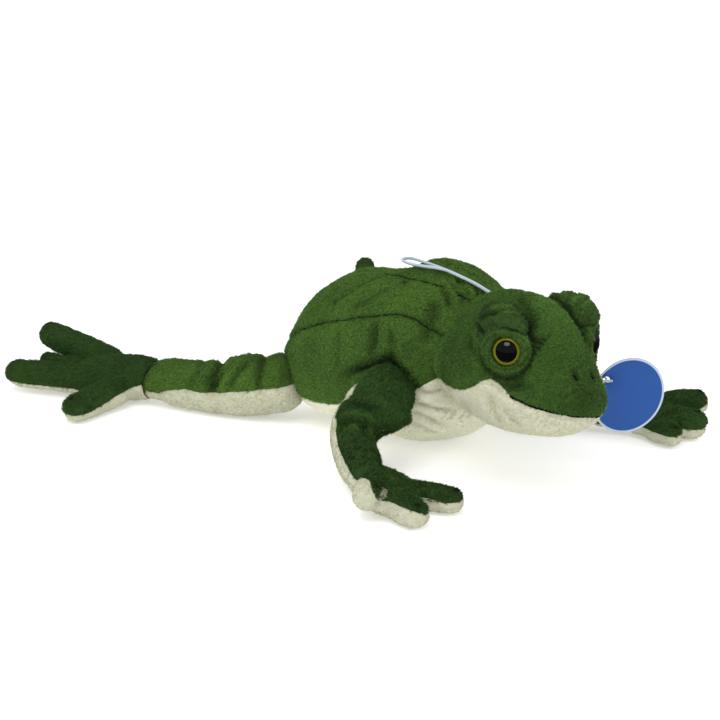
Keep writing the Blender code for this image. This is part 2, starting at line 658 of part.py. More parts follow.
def make_tag(parts, shades):
    """Oval card with a round hole; its origin is the hole's middle, and the hole's place is returned."""
    tilt = math.radians(TAG_TILT)
    oval = []
    for k in range(TAG_CORNERS):
        turn = 2 * math.pi * k / TAG_CORNERS
        along, aside = TAG_LONG / 2 * math.cos(turn), TAG_SHORT / 2 * math.sin(turn)
        oval.append((along * math.cos(tilt) - aside * math.sin(tilt) - TAG_HOLE[0],
                     along * math.sin(tilt) + aside * math.cos(tilt) - TAG_HOLE[1]))
    turns = [2 * math.pi * k / HOLE_CORNERS for k in range(HOLE_CORNERS)]
    hole = [(TAG_HOLE_RADIUS * math.cos(t), TAG_HOLE_RADIUS * math.sin(t)) for t in turns]
    curve = bpy.data.curves.new("swing_tag", "CURVE")
    curve.dimensions = "2D"
    curve.fill_mode = "BOTH"
    curve.extrude = TAG_CARD * MM / 2
    for ring in (oval, hole):
        add_ring(curve, ring)
    curve.materials.append(shades["blue"])
    tag = bpy.data.objects.new("swing_tag", curve)
    parts.objects.link(tag)
    tag.matrix_world = tag_frame() @ Matrix.Translation(in_metres((*TAG_HOLE, 0)))
    return tag.matrix_world.copy()


def main():
    clear_scene()
    parts = new_collection("plush_frog")
    cutters = new_collection("cutters")
    shades = {
        "pile": new_material("green_pile", GREEN, 0.9),
        "dark_pile": new_material("dark_green_pile", DARK_GREEN, 0.9),
        "cream": new_material("cream_pile", CREAM, 0.9),
        "olive": new_material("olive_plastic", OLIVE, 0.2),
        "black": new_material("black_plastic", BLACK, 0.1),
        "white": new_material("white_plastic", WHITE, 0.4),
        "cord": new_material("white_cord", WHITE, 0.8),
        "blue": new_material("blue_card", BLUE, 0.4),
        "thread": new_material("black_thread", BLACK, 0.8),
    }
    floor_cut = block_cutter("floor_cut", *FLOOR_BLOCK, cutters)
    head_pose = bpy.data.objects.new("head_pose", None)
    head_pose.location = in_metres(NECK)
    head_pose.rotation_euler = Euler((0, math.radians(HEAD_ROLL), math.radians(-HEAD_TURN)))
    parts.objects.link(head_pose)

    make_body(parts, cutters, shades["pile"], shades["cream"], floor_cut)
    head, throat = make_head(parts, cutters, shades["pile"], shades["cream"], head_pose)
    head_grown = head_offset("head_grown", GAP, cutters, head_pose)
    for side in ("right", "left"):
        pad_room = make_eye(side, parts, cutters, shades, head, head_pose)
        make_brow(side, parts, shades, head_pose, pad_room, head_grown)
    for side, sign in (("right", -1), ("left", 1)):
        make_limb("arm_" + side, ARM_STATIONS[side], SHOULDER[side], parts, shades["pile"], floor_cut)
        make_limb("leg_" + side, LEG_STATIONS[side], HIP[side], parts, shades["pile"], floor_cut)
        palm = placed(HAND_PALM, WRIST[side], HAND_AIM[side], -1, sign)
        fingers = {digit: placed(stations, WRIST[side], HAND_AIM[side], -1, sign)
                   for digit, stations in HAND_FINGERS.items()}
        make_spread("hand_" + side, palm, fingers, WRIST[side], WRIST_BALL, parts, cutters,
                    shades["dark_pile"], floor_cut)
        sole = placed(FOOT_PALM, ANKLE[side], FOOT_AIM[side], 1, sign)
        toes = {digit: placed(stations, ANKLE[side], FOOT_AIM[side], 1, sign,
                              TOE_LIFT[side] if digit == "first" else 0.0)
                for digit, stations in FOOT_TOES.items()}
        make_spread("foot_" + side, sole, toes, ANKLE[side], ANKLE_BALL, parts, cutters,
                    shades["dark_pile"], floor_cut)
    make_stitches(parts, cutters, shades, head_pose, head, throat)
    make_loop(parts, shades["cord"])
    hole_place = make_tag(parts, shades)
    make_tie(parts, cutters, shades, hole_place, throat)
    stand = bpy.data.objects.new("stand", None)
    stand.location = -in_metres(MIDDLE)
    for thing in list(parts.objects) + list(cutters.objects):
        if thing.parent is None:
            thing.parent = stand
    parts.objects.link(stand)


main()
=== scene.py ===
import math

import bmesh
import bpy
import numpy as np
from mathutils import Euler, Matrix, Vector, noise
from mathutils.bvhtree import BVHTree


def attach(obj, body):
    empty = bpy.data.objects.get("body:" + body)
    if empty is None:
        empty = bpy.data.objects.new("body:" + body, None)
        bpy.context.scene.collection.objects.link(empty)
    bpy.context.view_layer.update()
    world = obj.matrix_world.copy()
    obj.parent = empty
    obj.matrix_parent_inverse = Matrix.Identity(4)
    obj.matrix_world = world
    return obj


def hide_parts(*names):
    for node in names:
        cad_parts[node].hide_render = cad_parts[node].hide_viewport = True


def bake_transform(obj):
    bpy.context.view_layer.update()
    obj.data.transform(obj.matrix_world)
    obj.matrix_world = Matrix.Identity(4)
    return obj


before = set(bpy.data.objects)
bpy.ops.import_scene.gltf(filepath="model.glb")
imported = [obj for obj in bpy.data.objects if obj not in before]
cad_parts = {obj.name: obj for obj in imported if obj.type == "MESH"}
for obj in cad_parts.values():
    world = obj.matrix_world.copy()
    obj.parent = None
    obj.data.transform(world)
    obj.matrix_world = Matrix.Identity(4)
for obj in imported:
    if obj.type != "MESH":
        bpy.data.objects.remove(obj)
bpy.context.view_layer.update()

# Tables are in millimetres in the pattern's own frame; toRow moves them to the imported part's frame.
mm = 0.001
middle = Vector((21.04, 32.45, 0.0))
sides = ("right", "left")
signOf = {"right": -1, "left": 1}


def toRow(point):
    return (Vector(point) - middle) * mm


def srgb(code):
    channels = [int(code[k:k + 2], 16) / 255 for k in (1, 3, 5)]
    linear = [c / 12.92 if c <= 0.04045 else ((c + 0.055) / 1.055) ** 2.4 for c in channels]
    return (*linear, 1.0)


# Camera

view = {"azimuth": -42.0, "elevation": 17.0, "target": (-31.34, -5.05, 44.1), "distance": 1400.0,
        "lens": 107.69, "clipEnd": 20.0}


def linked(name, data):
    made = bpy.data.objects.new(name, data)
    bpy.context.scene.collection.objects.link(made)
    return made


def sightAt(turn, lift):
    # Direction at an azimuth and an elevation in degrees; azimuth 0 is along -Y
    turn, lift = math.radians(turn), math.radians(lift)
    return Vector((math.sin(turn) * math.cos(lift), -math.cos(turn) * math.cos(lift), math.sin(lift)))


def face(thing, way):
    thing.rotation_mode = "QUATERNION"
    thing.rotation_quaternion = way.to_track_quat("-Z", "Y")


def makeCamera():
    back = sightAt(view["azimuth"], view["elevation"])
    data = bpy.data.cameras.new("camera")
    data.lens, data.clip_end = view["lens"], view["clipEnd"]
    camera = linked("camera", data)
    camera.location = (Vector(view["target"]) + back * view["distance"]) * mm
    face(camera, -back)
    bpy.context.scene.camera = camera


# Meshes as plain arrays: corners in millimetres and lists of corner numbers

def newMesh(name, corners, faces):
    mesh = bpy.data.meshes.new(name)
    mesh.from_pydata([tuple(c) for c in corners], [], [list(f) for f in faces])
    mesh.update()
    return mesh


def outward(corners, faces):
    # Same shape with its faces turned outwards
    form = bmesh.new()
    mesh = newMesh("turning", corners, faces)
    form.from_mesh(mesh)
    bmesh.ops.recalc_face_normals(form, faces=form.faces)
    form.to_mesh(mesh)
    form.free()
    turned = [tuple(p.vertices) for p in mesh.polygons]
    bpy.data.meshes.remove(mesh)
    return corners, turned


def cornersOf(mesh):
    corners = np.zeros(len(mesh.vertices) * 3)
    mesh.vertices.foreach_get("co", corners)
    return corners.reshape(-1, 3)


def finalMesh(holder):
    # An object's mesh with its modifiers applied; the object goes
    bpy.context.view_layer.update()
    made = bpy.data.meshes.new_from_object(holder.evaluated_get(bpy.context.evaluated_depsgraph_get()))
    bpy.data.objects.remove(holder)
    return made


def withModifier(corners, faces, kind, **settings):
    # Runs one modifier over a shape and gives the shape back
    holder = linked("holder", newMesh("holder", corners, faces))
    modifier = holder.modifiers.new(kind, kind)
    for key, value in settings.items():
        setattr(modifier, key, value)
    made = finalMesh(holder)
    shape = cornersOf(made), [tuple(p.vertices) for p in made.polygons]
    bpy.data.meshes.remove(made)
    return shape


def rounded(corners, faces, levels):
    return withModifier(corners, faces, "SUBSURF", levels=levels, render_levels=levels)


def loft(rings, first, last):
    # Closed form through rings of points, pointed at both ends
    corners = [p for ring in rings for p in ring] + [first, last]
    sides, faces = len(rings[0]), []
    for r in range(len(rings) - 1):
        for k in range(sides):
            after = (k + 1) % sides
            faces.append((r * sides + k, r * sides + after, (r + 1) * sides + after, (r + 1) * sides + k))
    tail = (len(rings) - 1) * sides
    for k in range(sides):
        after = (k + 1) % sides
        faces.append((k, after, len(corners) - 2))
        faces.append((tail + k, tail + after, len(corners) - 1))
    return outward([tuple(c) for c in corners], faces)


def eggRing(halfWidth, widest, top, bottom, sides, taper=0.0, fullness=1.0, lean=0.0):
    # One section: an oval that narrows, fills out or leans towards its top
    grown, ring = 1 / math.cos(math.pi / sides), []
    for k in range(sides):
        angle = 2 * math.pi * k / sides
        rise = math.sin(angle)
        height = (top - widest) if rise > 0 else (widest - bottom)
        if rise > 0:
            rise = rise ** fullness
        across = halfWidth * grown * math.cos(angle) * (1 - taper * max(rise, 0.0))
        ring.append((across + lean * max(rise, 0.0), widest + height * grown * rise))
    return ring


tubeEnd = {"out": 0.7, "small": 0.8, "tip": 1.12, "blunt": 0.4}  # in shares of the last half height


def tube(stations, sides, roundStart=True):
    # Closed form round a bent line: each station is x, y, z, half width, half height
    grown = 1 / math.cos(math.pi / sides)
    middles = [Vector(s[:3]) for s in stations]
    ways = [(middles[min(k + 1, len(middles) - 1)] - middles[max(k - 1, 0)]).normalized()
            for k in range(len(middles))]
    spread = [(m, w, s[3], s[4]) for m, w, s in zip(middles, ways, stations)]
    (first, firstWay, firstWide, firstHigh), (last, lastWay, lastWide, lastHigh) = spread[0], spread[-1]
    out, small = tubeEnd["out"], tubeEnd["small"]
    opening = (first - firstWay * firstHigh * out, firstWay, firstWide * small, firstHigh * small)
    closing = (last + lastWay * lastHigh * out, lastWay, lastWide * small, lastHigh * small)
    rings = []
    for m, w, wide, high in ([opening] if roundStart else []) + spread + [closing]:
        side = w.cross(Vector((0, 0, 1))).normalized()
        up = side.cross(w).normalized()
        turns = [2 * math.pi * k / sides for k in range(sides)]
        rings.append([m + (side * wide * math.cos(t) + up * high * math.sin(t)) * grown for t in turns])
    blunt = tubeEnd["tip"] if roundStart else tubeEnd["blunt"]
    return loft(rings, first - firstWay * firstHigh * blunt, last + lastWay * lastHigh * tubeEnd["tip"])


def unit(way):
    return np.array(way, float) / np.linalg.norm(way)


def unitRows(ways, least=1e-12):
    return ways / np.maximum(np.linalg.norm(ways, axis=1, keepdims=True), least)


def normalsOf(corners, faces):
    normals = np.zeros_like(corners)
    for size in set(len(f) for f in faces):
        ids = np.array([f for f in faces if len(f) == size])
        a, b, c = corners[ids[:, 0]], corners[ids[:, 1]], corners[ids[:, 2]]
        n = np.cross(c - a, corners[ids[:, 3]] - b) if size == 4 else np.cross(b - a, c - a)
        for k in range(size):
            np.add.at(normals, ids[:, k], n)
    return unitRows(normals)


def swollen(corners, faces, amount):
    # Corners moved out along the normals, one distance for all or one for each; negative is inwards
    return corners + normalsOf(corners, faces) * np.reshape(amount, (-1, 1))


def relax(corners, faces, times):
    # Evens a shape out by moving each corner half way to the mean of its neighbours
    pairs = np.array([(a, b) for f in faces for a, b in zip(f, f[1:] + f[:1])])
    count = np.zeros(len(corners))
    np.add.at(count, pairs[:, 0], 1)
    np.add.at(count, pairs[:, 1], 1)
    moved = corners.copy()
    for _ in range(times):
        total = np.zeros_like(moved)
        np.add.at(total, pairs[:, 0], moved[pairs[:, 1]])
        np.add.at(total, pairs[:, 1], moved[pairs[:, 0]])
        moved += (total / np.maximum(count, 1)[:, None] - moved) / 2
    return moved


def smoothLine(points, steps=6):
    # A smooth curve through the points, with so many steps from one to the next
    knots = [np.array(p, float) for p in points]
    knots = [2 * knots[0] - knots[1]] + knots + [2 * knots[-1] - knots[-2]]
    line = []
    for a, b, c, d in zip(knots, knots[1:], knots[2:], knots[3:]):
        for k in range(steps):
            t = k / steps
            line.append(0.5 * (2 * b + (c - a) * t + (2 * a - 5 * b + 4 * c - d) * t ** 2
                               + (3 * b - 3 * c + d - a) * t ** 3))
    line.append(knots[-2])
    return np.array(line)


def distanceTo(corners, line):
    # Distance from each corner to a line of points, and how far along it the nearest place lies, 0 to 1
    best, along = np.full(len(corners), 1e9), np.zeros(len(corners))
    for k in range(len(line) - 1):
        a, d = line[k], line[k + 1] - line[k]
        t = np.clip((corners - a) @ d / max(d @ d, 1e-12), 0, 1)
        gap = np.linalg.norm(corners - a - t[:, None] * d, axis=1)
        nearer = gap < best
        best[nearer], along[nearer] = gap[nearer], (k + t[nearer]) / (len(line) - 1)
    return best, along


def fromPoint(corners, point):
    return np.linalg.norm(corners - np.array(point), axis=1)


def bell(gap, width):
    # 1 at no distance, nearly 0 at twice the width
    return np.exp(-(gap / width) ** 2)


def nearLine(corners, points, width):
    return bell(distanceTo(corners, smoothLine(points))[0], width)


def treeOf(corners, faces):
    return BVHTree.FromPolygons([tuple(c) for c in corners], faces)


def snapped(points, corners, faces):
    # Points moved to the nearest place on a shape
    tree = treeOf(corners, faces)
    return [tuple(tree.find_nearest(Vector(p))[0]) for p in points]


def laid(folds, corners, faces, changed=tuple):
    # Folds with their points changed by a function, then moved onto a shape
    return [(snapped(changed(line), corners, faces), *rest) for line, *rest in folds]


def lumps(corners, size, seed):
    # Soft noise of about a unit's height with features of that size in millimetres
    shift = Vector((seed * 17.3, seed * 5.1, seed * 9.7))
    return np.array([noise.noise(Vector(c) / size + shift) for c in corners])


def roughened(corners, faces, shade, *waves):
    # Adds soft unevenness to a form, with painted shade in its hollows and painted light on its bumps; each
    # wave is a size, a seed and a height
    uneven = sum(lumps(corners, size, seed) * height for size, seed, height in waves)
    return swollen(corners, faces, uneven), shade - unevenShade * uneven


foldShade, unevenShade = 0.2, 0.12  # painted shade and light per millimetre of fold depth
foldFade, foldBeside = 5, 2.1  # fifths of a fold's length over which it fades; widths to the rise beside it


def press(corners, faces, folds):
    # Presses folds in: points, width, depth and the share that rises beside it; a negative depth raises a
    # ridge. The second result is the painted shade in the folds, negative for painted light on ridges and
    # rises.
    moved, shade = corners.copy(), np.zeros(len(corners))
    for points, width, depth, rise in folds:
        gap, along = distanceTo(moved, smoothLine(points))
        ends = np.clip(np.minimum(along, 1 - along) * foldFade, 0, 1) if rise else 1.0
        dip = depth * (bell(gap, width) - rise * bell(gap - foldBeside * width, width)) * ends
        moved = swollen(moved, faces, -dip)
        shade += foldShade * dip
    return moved, shade


def hollow(corners, centre, radius, way):
    # Corners inside a ball slide along a direction until they lie on its far side
    way = unit(way)
    out = corners - np.array(centre)
    inside = np.linalg.norm(out, axis=1) < radius
    b = out @ way
    reach = -b + np.sqrt(np.maximum(b ** 2 - (out ** 2).sum(1) + radius ** 2, 0))
    return corners + way * (reach * inside)[:, None]


def movedFrom(base, corners):
    # 1 where a hollow has moved a corner
    return (np.abs(corners - base).max(axis=1) > 1e-6).astype(float)


def eased(x, start, end):
    # 0 before the start, 1 after the end, smooth between them
    t = np.clip((np.asarray(x, float) - start) / (end - start), 0, 1)
    return t * t * (3 - 2 * t)


shapes = {}  # every stuffed form with its hollows made, by name: corners and faces
# where skins meet; search is how far from a neighbour it is looked for, none the gap given beyond that
contact = {"depth": 1.2, "shade": 0.6, "reach": 3.0, "valley": 2.2, "valleyReach": 3.4, "search": 10.0,
           "none": 1000.0}


def gapTo(corners, names):
    # Distance from each corner to its nearest neighbour, negative inside it
    gap, search = np.full(len(corners), contact["none"]), contact["search"]
    for name in names:
        form, faces = shapes[name]
        tree = treeOf(form, faces)
        close = ((corners > form.min(axis=0) - search) & (corners < form.max(axis=0) + search)).all(axis=1)
        for k in np.nonzero(close)[0]:
            place, normal, _, distance = tree.find_nearest(Vector(corners[k]))
            gap[k] = min(gap[k], math.copysign(distance, (Vector(corners[k]) - place) @ normal))
    return gap


def darkened(shade, near):
    # A shadow over a shade; where there is none, lightened places stay light
    near = np.clip(near, 0, 1)
    return shade * (1 - near) + near


def touchedBy(corners, faces, names, share=1.0, reach=None):
    # Draws the skin in along the line where it meets a neighbour, as the stitches there do. Also gives 1
    # where a corner lies inside a neighbour, so that no pile grows there, and the shadow where one is near.
    gap = gapTo(corners, names)
    drawn = contact["valley"] * share * bell(gap, contact["valleyReach"])
    hidden = (gap < -contact["depth"] - drawn).astype(float)
    shade = contact["shade"] * bell(np.maximum(gap, 0), reach or contact["reach"])
    return swollen(corners, faces, -drawn), hidden, shade


def split(rows, faces, value):
    # Cuts a closed shape where value is zero and closes both halves; rows hold a corner's place and its dyes
    halves = []
    for sign in (1, -1):
        v = value * sign
        kept, made, number, cut, polygons, nextOn = v > 0, [], {}, {}, [], {}

        def old(i):
            if i not in number:
                number[i] = len(made)
                made.append(rows[i])
            return number[i]

        def between(i, j):
            key = (min(i, j), max(i, j))
            if key not in cut:
                t = v[key[0]] / (v[key[0]] - v[key[1]])
                cut[key] = len(made)
                made.append(rows[key[0]] * (1 - t) + rows[key[1]] * t)
            return cut[key]

        for f in faces:
            inside = [kept[i] for i in f]
            if all(inside):
                polygons.append(tuple(old(i) for i in f))
            elif any(inside):
                polygon, leaving, entering = [], None, None
                for i, j in zip(f, f[1:] + f[:1]):
                    if kept[i]:
                        polygon.append(old(i))
                    if kept[i] and not kept[j]:
                        leaving = between(i, j)
                        polygon.append(leaving)
                    elif kept[j] and not kept[i]:
                        entering = between(i, j)
                        polygon.append(entering)
                polygons.append(tuple(polygon))
                nextOn[entering] = leaving
        while nextOn:
            start, there = next(iter(nextOn.items()))
            ring, there = [start], nextOn.pop(start)
            while there in nextOn:
                ring.append(there)
                there = nextOn.pop(there)
            hub = len(made)
            made.append(np.mean([made[i] for i in ring], axis=0))
            for a, b in zip(ring, ring[1:] + ring[:1]):
                polygons.append((a, b, hub))
        halves.append((np.array(made), polygons))
    return halves


def together(forms):
    corners, faces = [], []
    for c, f in forms:
        faces += [tuple(i + len(corners) for i in face) for face in f]
        corners += [tuple(p) for p in c]
    return corners, faces


def unite(forms, voxel, passes):
    # Joins overlapping closed forms into one skin and softens the valleys between them
    corners, faces = withModifier(*together(forms), "REMESH", mode="VOXEL", voxel_size=voxel)
    return relax(corners, faces, passes), faces


# Materials

def feed(tree, node, inputs):
    # Gives each input a value or the socket that feeds it
    for key, value in inputs.items():
        if isinstance(value, bpy.types.NodeSocket):
            tree.links.new(value, node.inputs[key])
        else:
            node.inputs[key].default_value = value


def add(tree, kind, inputs=None, **settings):
    node = tree.nodes.new(kind)
    for key, value in settings.items():
        setattr(node, key, value)
    feed(tree, node, inputs or {})
    return node


def output(tree, kind, inputs=None, socket=0, **settings):
    # One output of a new node
    return add(tree, kind, inputs, **settings).outputs[socket]


def maths(tree, operation, a, b):
    return output(tree, "ShaderNodeMath", {0: a, 1: b}, operation=operation)


def ranged(tree, value, start, end, first=0.0, last=1.0):
    return output(tree, "ShaderNodeMapRange", {"Value": value, "From Min": start, "From Max": end,
                                               "To Min": first, "To Max": last})


def grey(tree, value):
    return output(tree, "ShaderNodeCombineXYZ", {0: value, 1: value, 2: value})


def noiseAt(tree, size, detail, roughness=0.5):
    # Noise with features of that size in millimetres
    place = output(tree, "ShaderNodeTexCoord", socket="Object")
    return output(tree, "ShaderNodeTexNoise", {"Vector": place, "Scale": 1 / (size * mm), "Detail": detail,
                                               "Roughness": roughness}, "Fac")


def attribute(tree, name):
    return output(tree, "ShaderNodeAttribute", socket="Fac", attribute_name=name)


def newMaterial(name):
    material = bpy.data.materials.new(name)
    material.use_nodes = True
    tree = material.node_tree
    return material, tree, tree.nodes["Principled BSDF"]


def mixed(tree, factor, a, b, blend="MIX"):
    return output(tree, "ShaderNodeMix", {0: factor, 6: a, 7: b}, 2, data_type="RGBA", blend_type=blend)


knitSize = 0.8


def pileMaterial(name, tones):
    # Short knitted plush: dull polyester hairs with painted shade towards the root, and a pale sheen where
    # seen edge on
    material, tree, shader = newMaterial(name)
    tip, paintedShadeAndDye, strand = (attribute(tree, label) for label in ("tip", "paintedShadeAndDye", "strand"))
    patch, fleck = noiseAt(tree, tones["patch"], 3.0, 0.55), noiseAt(tree, tones["fleck"], 2.0)
    colour = mixed(tree, tip, srgb(tones["root"]), srgb(tones["tip"]))
    warm = maths(tree, "MULTIPLY", ranged(tree, patch, 0.3, 0.7), tones["patchShare"])
    colour = mixed(tree, warm, colour, srgb(tones["warm"]))
    speck = maths(tree, "ADD", ranged(tree, fleck, 0.35, 0.62), strand)
    light = ranged(tree, speck, 0.0, 2.0, 1 - tones["vary"], 1 + tones["vary"])
    # painted light brightens the pile where its painted shade is below zero
    light = maths(tree, "MULTIPLY", light, ranged(tree, paintedShadeAndDye, -1.0, 0.0, 1 + tones["lit"], 1.0))
    colour = mixed(tree, 1.0, colour, grey(tree, light), "MULTIPLY")
    # painted shade and the darker spots take the pile towards its darkest colour
    colour = mixed(tree, output(tree, "ShaderNodeClamp", {"Value": paintedShadeAndDye}), colour, srgb(tones["deepest"]))
    knit = {"Height": noiseAt(tree, knitSize, 3.0), "Strength": 0.35, "Distance": 0.4 * mm}
    bump = output(tree, "ShaderNodeBump", knit)
    feed(tree, shader, {"Base Color": colour, "Roughness": 0.95, "Specular IOR Level": 0.15, "Normal": bump,
                        "Sheen Weight": tones["sheen"], "Sheen Roughness": 0.45,
                        "Sheen Tint": srgb(tones["sheenTint"])})
    return material


# root is painted shade deep among the hairs; the darkest colour is that of the deepest painted shade and of
# the darker spots; lit is how much painted light brightens ridges and the top of the head
greenTones = {"tip": "#61883C", "root": "#1B300F", "warm": "#678C34", "deepest": "#10190A",
              "patch": 28.0, "patchShare": 0.35, "fleck": 1.3, "vary": 0.32, "lit": 0.8, "sheen": 0.06,
              "sheenTint": "#A9C68A"}
headTones = dict(greenTones, tip="#517534", root="#182B0E", warm="#567A2D", deepest="#0E160A")
armTones = dict(greenTones, tip="#3E5F2B", root="#12210B", warm="#436628", deepest="#090F07", lit=0.6)
# painted light: the belly's cream, made brighter to stand in for light under the body
litCreamTones = {"tip": "#F4F4E2", "root": "#DEDEC8", "warm": "#F0EFD2", "deepest": "#9A966C",
              "patch": 30.0, "patchShare": 0.3, "fleck": 1.5, "vary": 0.06, "lit": 0.12, "sheen": 0.06,
              "sheenTint": "#F4F3E4"}


# The pile: leaning tufts scattered over a skin

pile = {"density": 1.75, "length": 2.1, "width": 0.27, "lift": 0.5, "loose": 0.3,  # per mm2, and mm
        "clump": 0.75, "clumpSize": 2.4, "mostFaces": 180000, "tuftFaces": 4,
        "quickShare": 0.3, "quickWidth": 1.8}
creamPileShare, creamPileLength = 0.7, 0.65
squareMetre = 1e6  # in mm2


def pileTree():
    tree = bpy.data.node_groups.new("plushPile", "GeometryNodeTree")

    def given(name, kind, value=None):
        new = tree.interface.new_socket(name, in_out="INPUT", socket_type="NodeSocket" + kind)
        if value is not None:
            new.default_value = value

    def node(kind, inputs=None, socket=0, **settings):
        return output(tree, "GeometryNode" + kind, inputs, socket, **settings)

    def vector(operation, a, b):
        second = "Scale" if operation == "SCALE" else 1
        return output(tree, "ShaderNodeVectorMath", {0: a, second: b}, operation=operation)

    def random(kind, inputs, socket):
        return output(tree, "FunctionNodeRandomValue", inputs, socket, data_type=kind)

    given("Geometry", "Geometry")
    for name, value in (("Density", pile["density"] * squareMetre), ("Length", pile["length"] * mm),
                        ("Width", pile["width"] * mm), ("Lift", pile["lift"]), ("Loose", pile["loose"])):
        given(name, "Float", value)
    given("Seed", "Int", 1)
    given("Material", "Material")
    tree.interface.new_socket("Geometry", in_out="OUTPUT", socket_type="NodeSocketGeometry")
    start = add(tree, "NodeGroupInput").outputs
    grow = node("InputNamedAttribute", {"Name": "grow"}, "Attribute", data_type="FLOAT")
    points = add(tree, "GeometryNodeDistributePointsOnFaces",
                 {"Mesh": start["Geometry"], "Density": maths(tree, "MULTIPLY", grow, start["Density"]),
                  "Seed": start["Seed"]}).outputs
    tuft = node("MeshCone", {"Vertices": 3, "Radius Top": 0.0, "Radius Bottom": start["Width"],
                             "Depth": start["Length"]}, "Mesh")
    height = output(tree, "ShaderNodeSeparateXYZ", {0: node("InputPosition")}, "Z")
    share = maths(tree, "DIVIDE", height, start["Length"])
    tuft = node("StoreNamedAttribute", {"Geometry": tuft, "Name": "tip", "Value": share}, data_type="FLOAT")
    comb = node("InputNamedAttribute", {"Name": "comb"}, "Attribute", data_type="FLOAT_VECTOR")
    stray = random("FLOAT_VECTOR", {"Min": (-1, -1, -1), "Max": (1, 1, 1), "Seed": start["Seed"]}, "Value")
    gathered = {"Scale": 1 / (pile["clumpSize"] * mm), "Detail": 1.0}
    clump = output(tree, "ShaderNodeTexNoise", gathered, "Color")
    clump = vector("SCALE", vector("SUBTRACT", clump, (0.5, 0.5, 0.5)), 4 * pile["clump"])
    way = vector("ADD", vector("SCALE", points["Normal"], start["Lift"]), comb)
    way = vector("ADD", vector("ADD", way, vector("SCALE", stray, start["Loose"])), clump)
    turned = output(tree, "FunctionNodeAlignRotationToVector", {"Vector": way}, axis="Z")
    size = random("FLOAT", {2: 0.7, 3: 1.25, "Seed": start["Seed"]}, 1)
    tufts = node("InstanceOnPoints", {"Points": points["Points"], "Instance": tuft, "Rotation": turned,
                                      "Scale": size})
    shade = random("FLOAT", {2: 0.0, 3: 1.0, "Seed": 7}, 1)
    tufts = node("StoreNamedAttribute", {"Geometry": tufts, "Name": "strand", "Value": shade},
                 data_type="FLOAT", domain="INSTANCE")
    tufts = node("RealizeInstances", {"Geometry": tufts})
    for name in ("grow", "comb"):
        tufts = node("RemoveAttribute", {"Geometry": tufts, "Name": name})
    tufts = node("SetMaterial", {"Geometry": tufts, "Material": start["Material"]})
    add(tree, "NodeGroupOutput", {"Geometry": tufts})
    return tree


def growPile(skin, material, seed, share=1.0, length=1.0):
    # Plain meshes of tufts over a skin that carries the grow, comb, and painted shade and dye attributes, in
    # bands along it
    ahead = cornersOf(skin.data)[:, 1]
    values = skin.data.attributes["grow"].data
    grow = np.zeros(len(ahead), np.float32)
    values.foreach_get("value", grow)
    area = sum(p.area * max(grow[p.vertices[0]], 0.0) for p in skin.data.polygons)
    density = pile["density"] * squareMetre * share * 1.0
    bands = int(area * density * pile["tuftFaces"] / pile["mostFaces"]) + 1
    edges = np.quantile(ahead, np.linspace(0, 1, bands + 1))
    keys = {item.name: item.identifier for item in plush.interface.items_tree if item.in_out == "INPUT"}
    made = []
    for band in range(bands):
        inside = (ahead >= edges[band]) & ((ahead < edges[band + 1]) | (band == bands - 1))
        values.foreach_set("value", (grow * inside).astype(np.float32))
        holder = linked("pileHolder", skin.data)
        modifier = holder.modifiers.new("Pile", "NODES")
        modifier.node_group = plush
        modifier[keys["Density"]] = density
        modifier[keys["Length"]] = pile["length"] * mm * length
        modifier[keys["Width"]] = pile["width"] * mm * 1.0
        modifier[keys["Seed"]] = seed + 500 * band
        modifier[keys["Material"]] = material
        made.append(linked(skin.name + "Pile" + (str(band + 1) if bands > 1 else ""), finalMesh(holder)))
    return made


pieceSeeds = iter(range(1, 200))
# no pile grows on what faces down and lies below; gap is the skin's least height
resting = {"below": 1.2, "facing": -0.3, "gap": 0.3}
skinTip = 0.45  # how far from root to tip the skin's own colour lies
skinLevels, skinUnderPile = 4, 0.8


def flow(way):
    # Hair combed one way over a whole piece
    return lambda corners: np.tile(unit(way), (len(corners), 1))


def spotted(shade, corners, centre, radius, strength):
    # Darkening round a point: the dark tips of the digits, and darker spots and painted shade on the head
    return np.maximum(shade, strength * bell(fromPoint(corners, centre), radius))


def store(mesh, label, values, kind="FLOAT", key="value"):
    mesh.attributes.new(label, kind, "POINT").data.foreach_set(key, values.astype(np.float32).ravel())


def makeSkin(name, rows, faces, material, comb):
    # Rows hold a corner's place, how bare it is and its painted shade and dye, negative for painted light; the
    # piece is made in metres in the imported frame
    corners, bare, paintedShadeAndDye = rows[:, :3], rows[:, 3], rows[:, 4]
    normals = normalsOf(corners, faces)
    lay = comb(corners)
    lay = unitRows(lay - normals * (lay * normals).sum(1)[:, None], 1e-6)
    flat = (corners[:, 2] < resting["below"]) & (normals[:, 2] < resting["facing"])
    grow = np.where(flat, 0, 1.0 - np.clip(bare, 0, 1))
    mesh = newMesh(name, (corners - np.array(middle)) * mm, faces)
    tips = np.full(len(corners), skinTip)
    for label, values in (("grow", grow), ("paintedShadeAndDye", np.clip(paintedShadeAndDye, -1, 1)), ("tip", tips)):
        store(mesh, label, values)
    store(mesh, "comb", lay, "FLOAT_VECTOR", "vector")
    mesh.materials.append(material)
    mesh.shade_smooth()
    return linked(name, mesh)


def edgeOf(value):
    # Less pile right at the border between two fabrics, where value is zero
    return 0.85 * bell(value, 0.9)


def lifted(corners):
    corners[:, 2] = np.maximum(corners[:, 2], resting["gap"])
    return corners


def dress(skin, carry, slot, nodes, fill, material, share=1.0, length=1.0):
    tufts = growPile(skin, material, next(pieceSeeds), share, length)
    for label in ("grow", "comb"):
        skin.data.attributes.remove(skin.data.attributes[label])
    for piece in [skin] + tufts:
        carry(piece)
    if nodes:
        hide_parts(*nodes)
    print("made", skin.name, len(skin.data.polygons), "faces, pile", [len(t.data.polygons) for t in tufts])


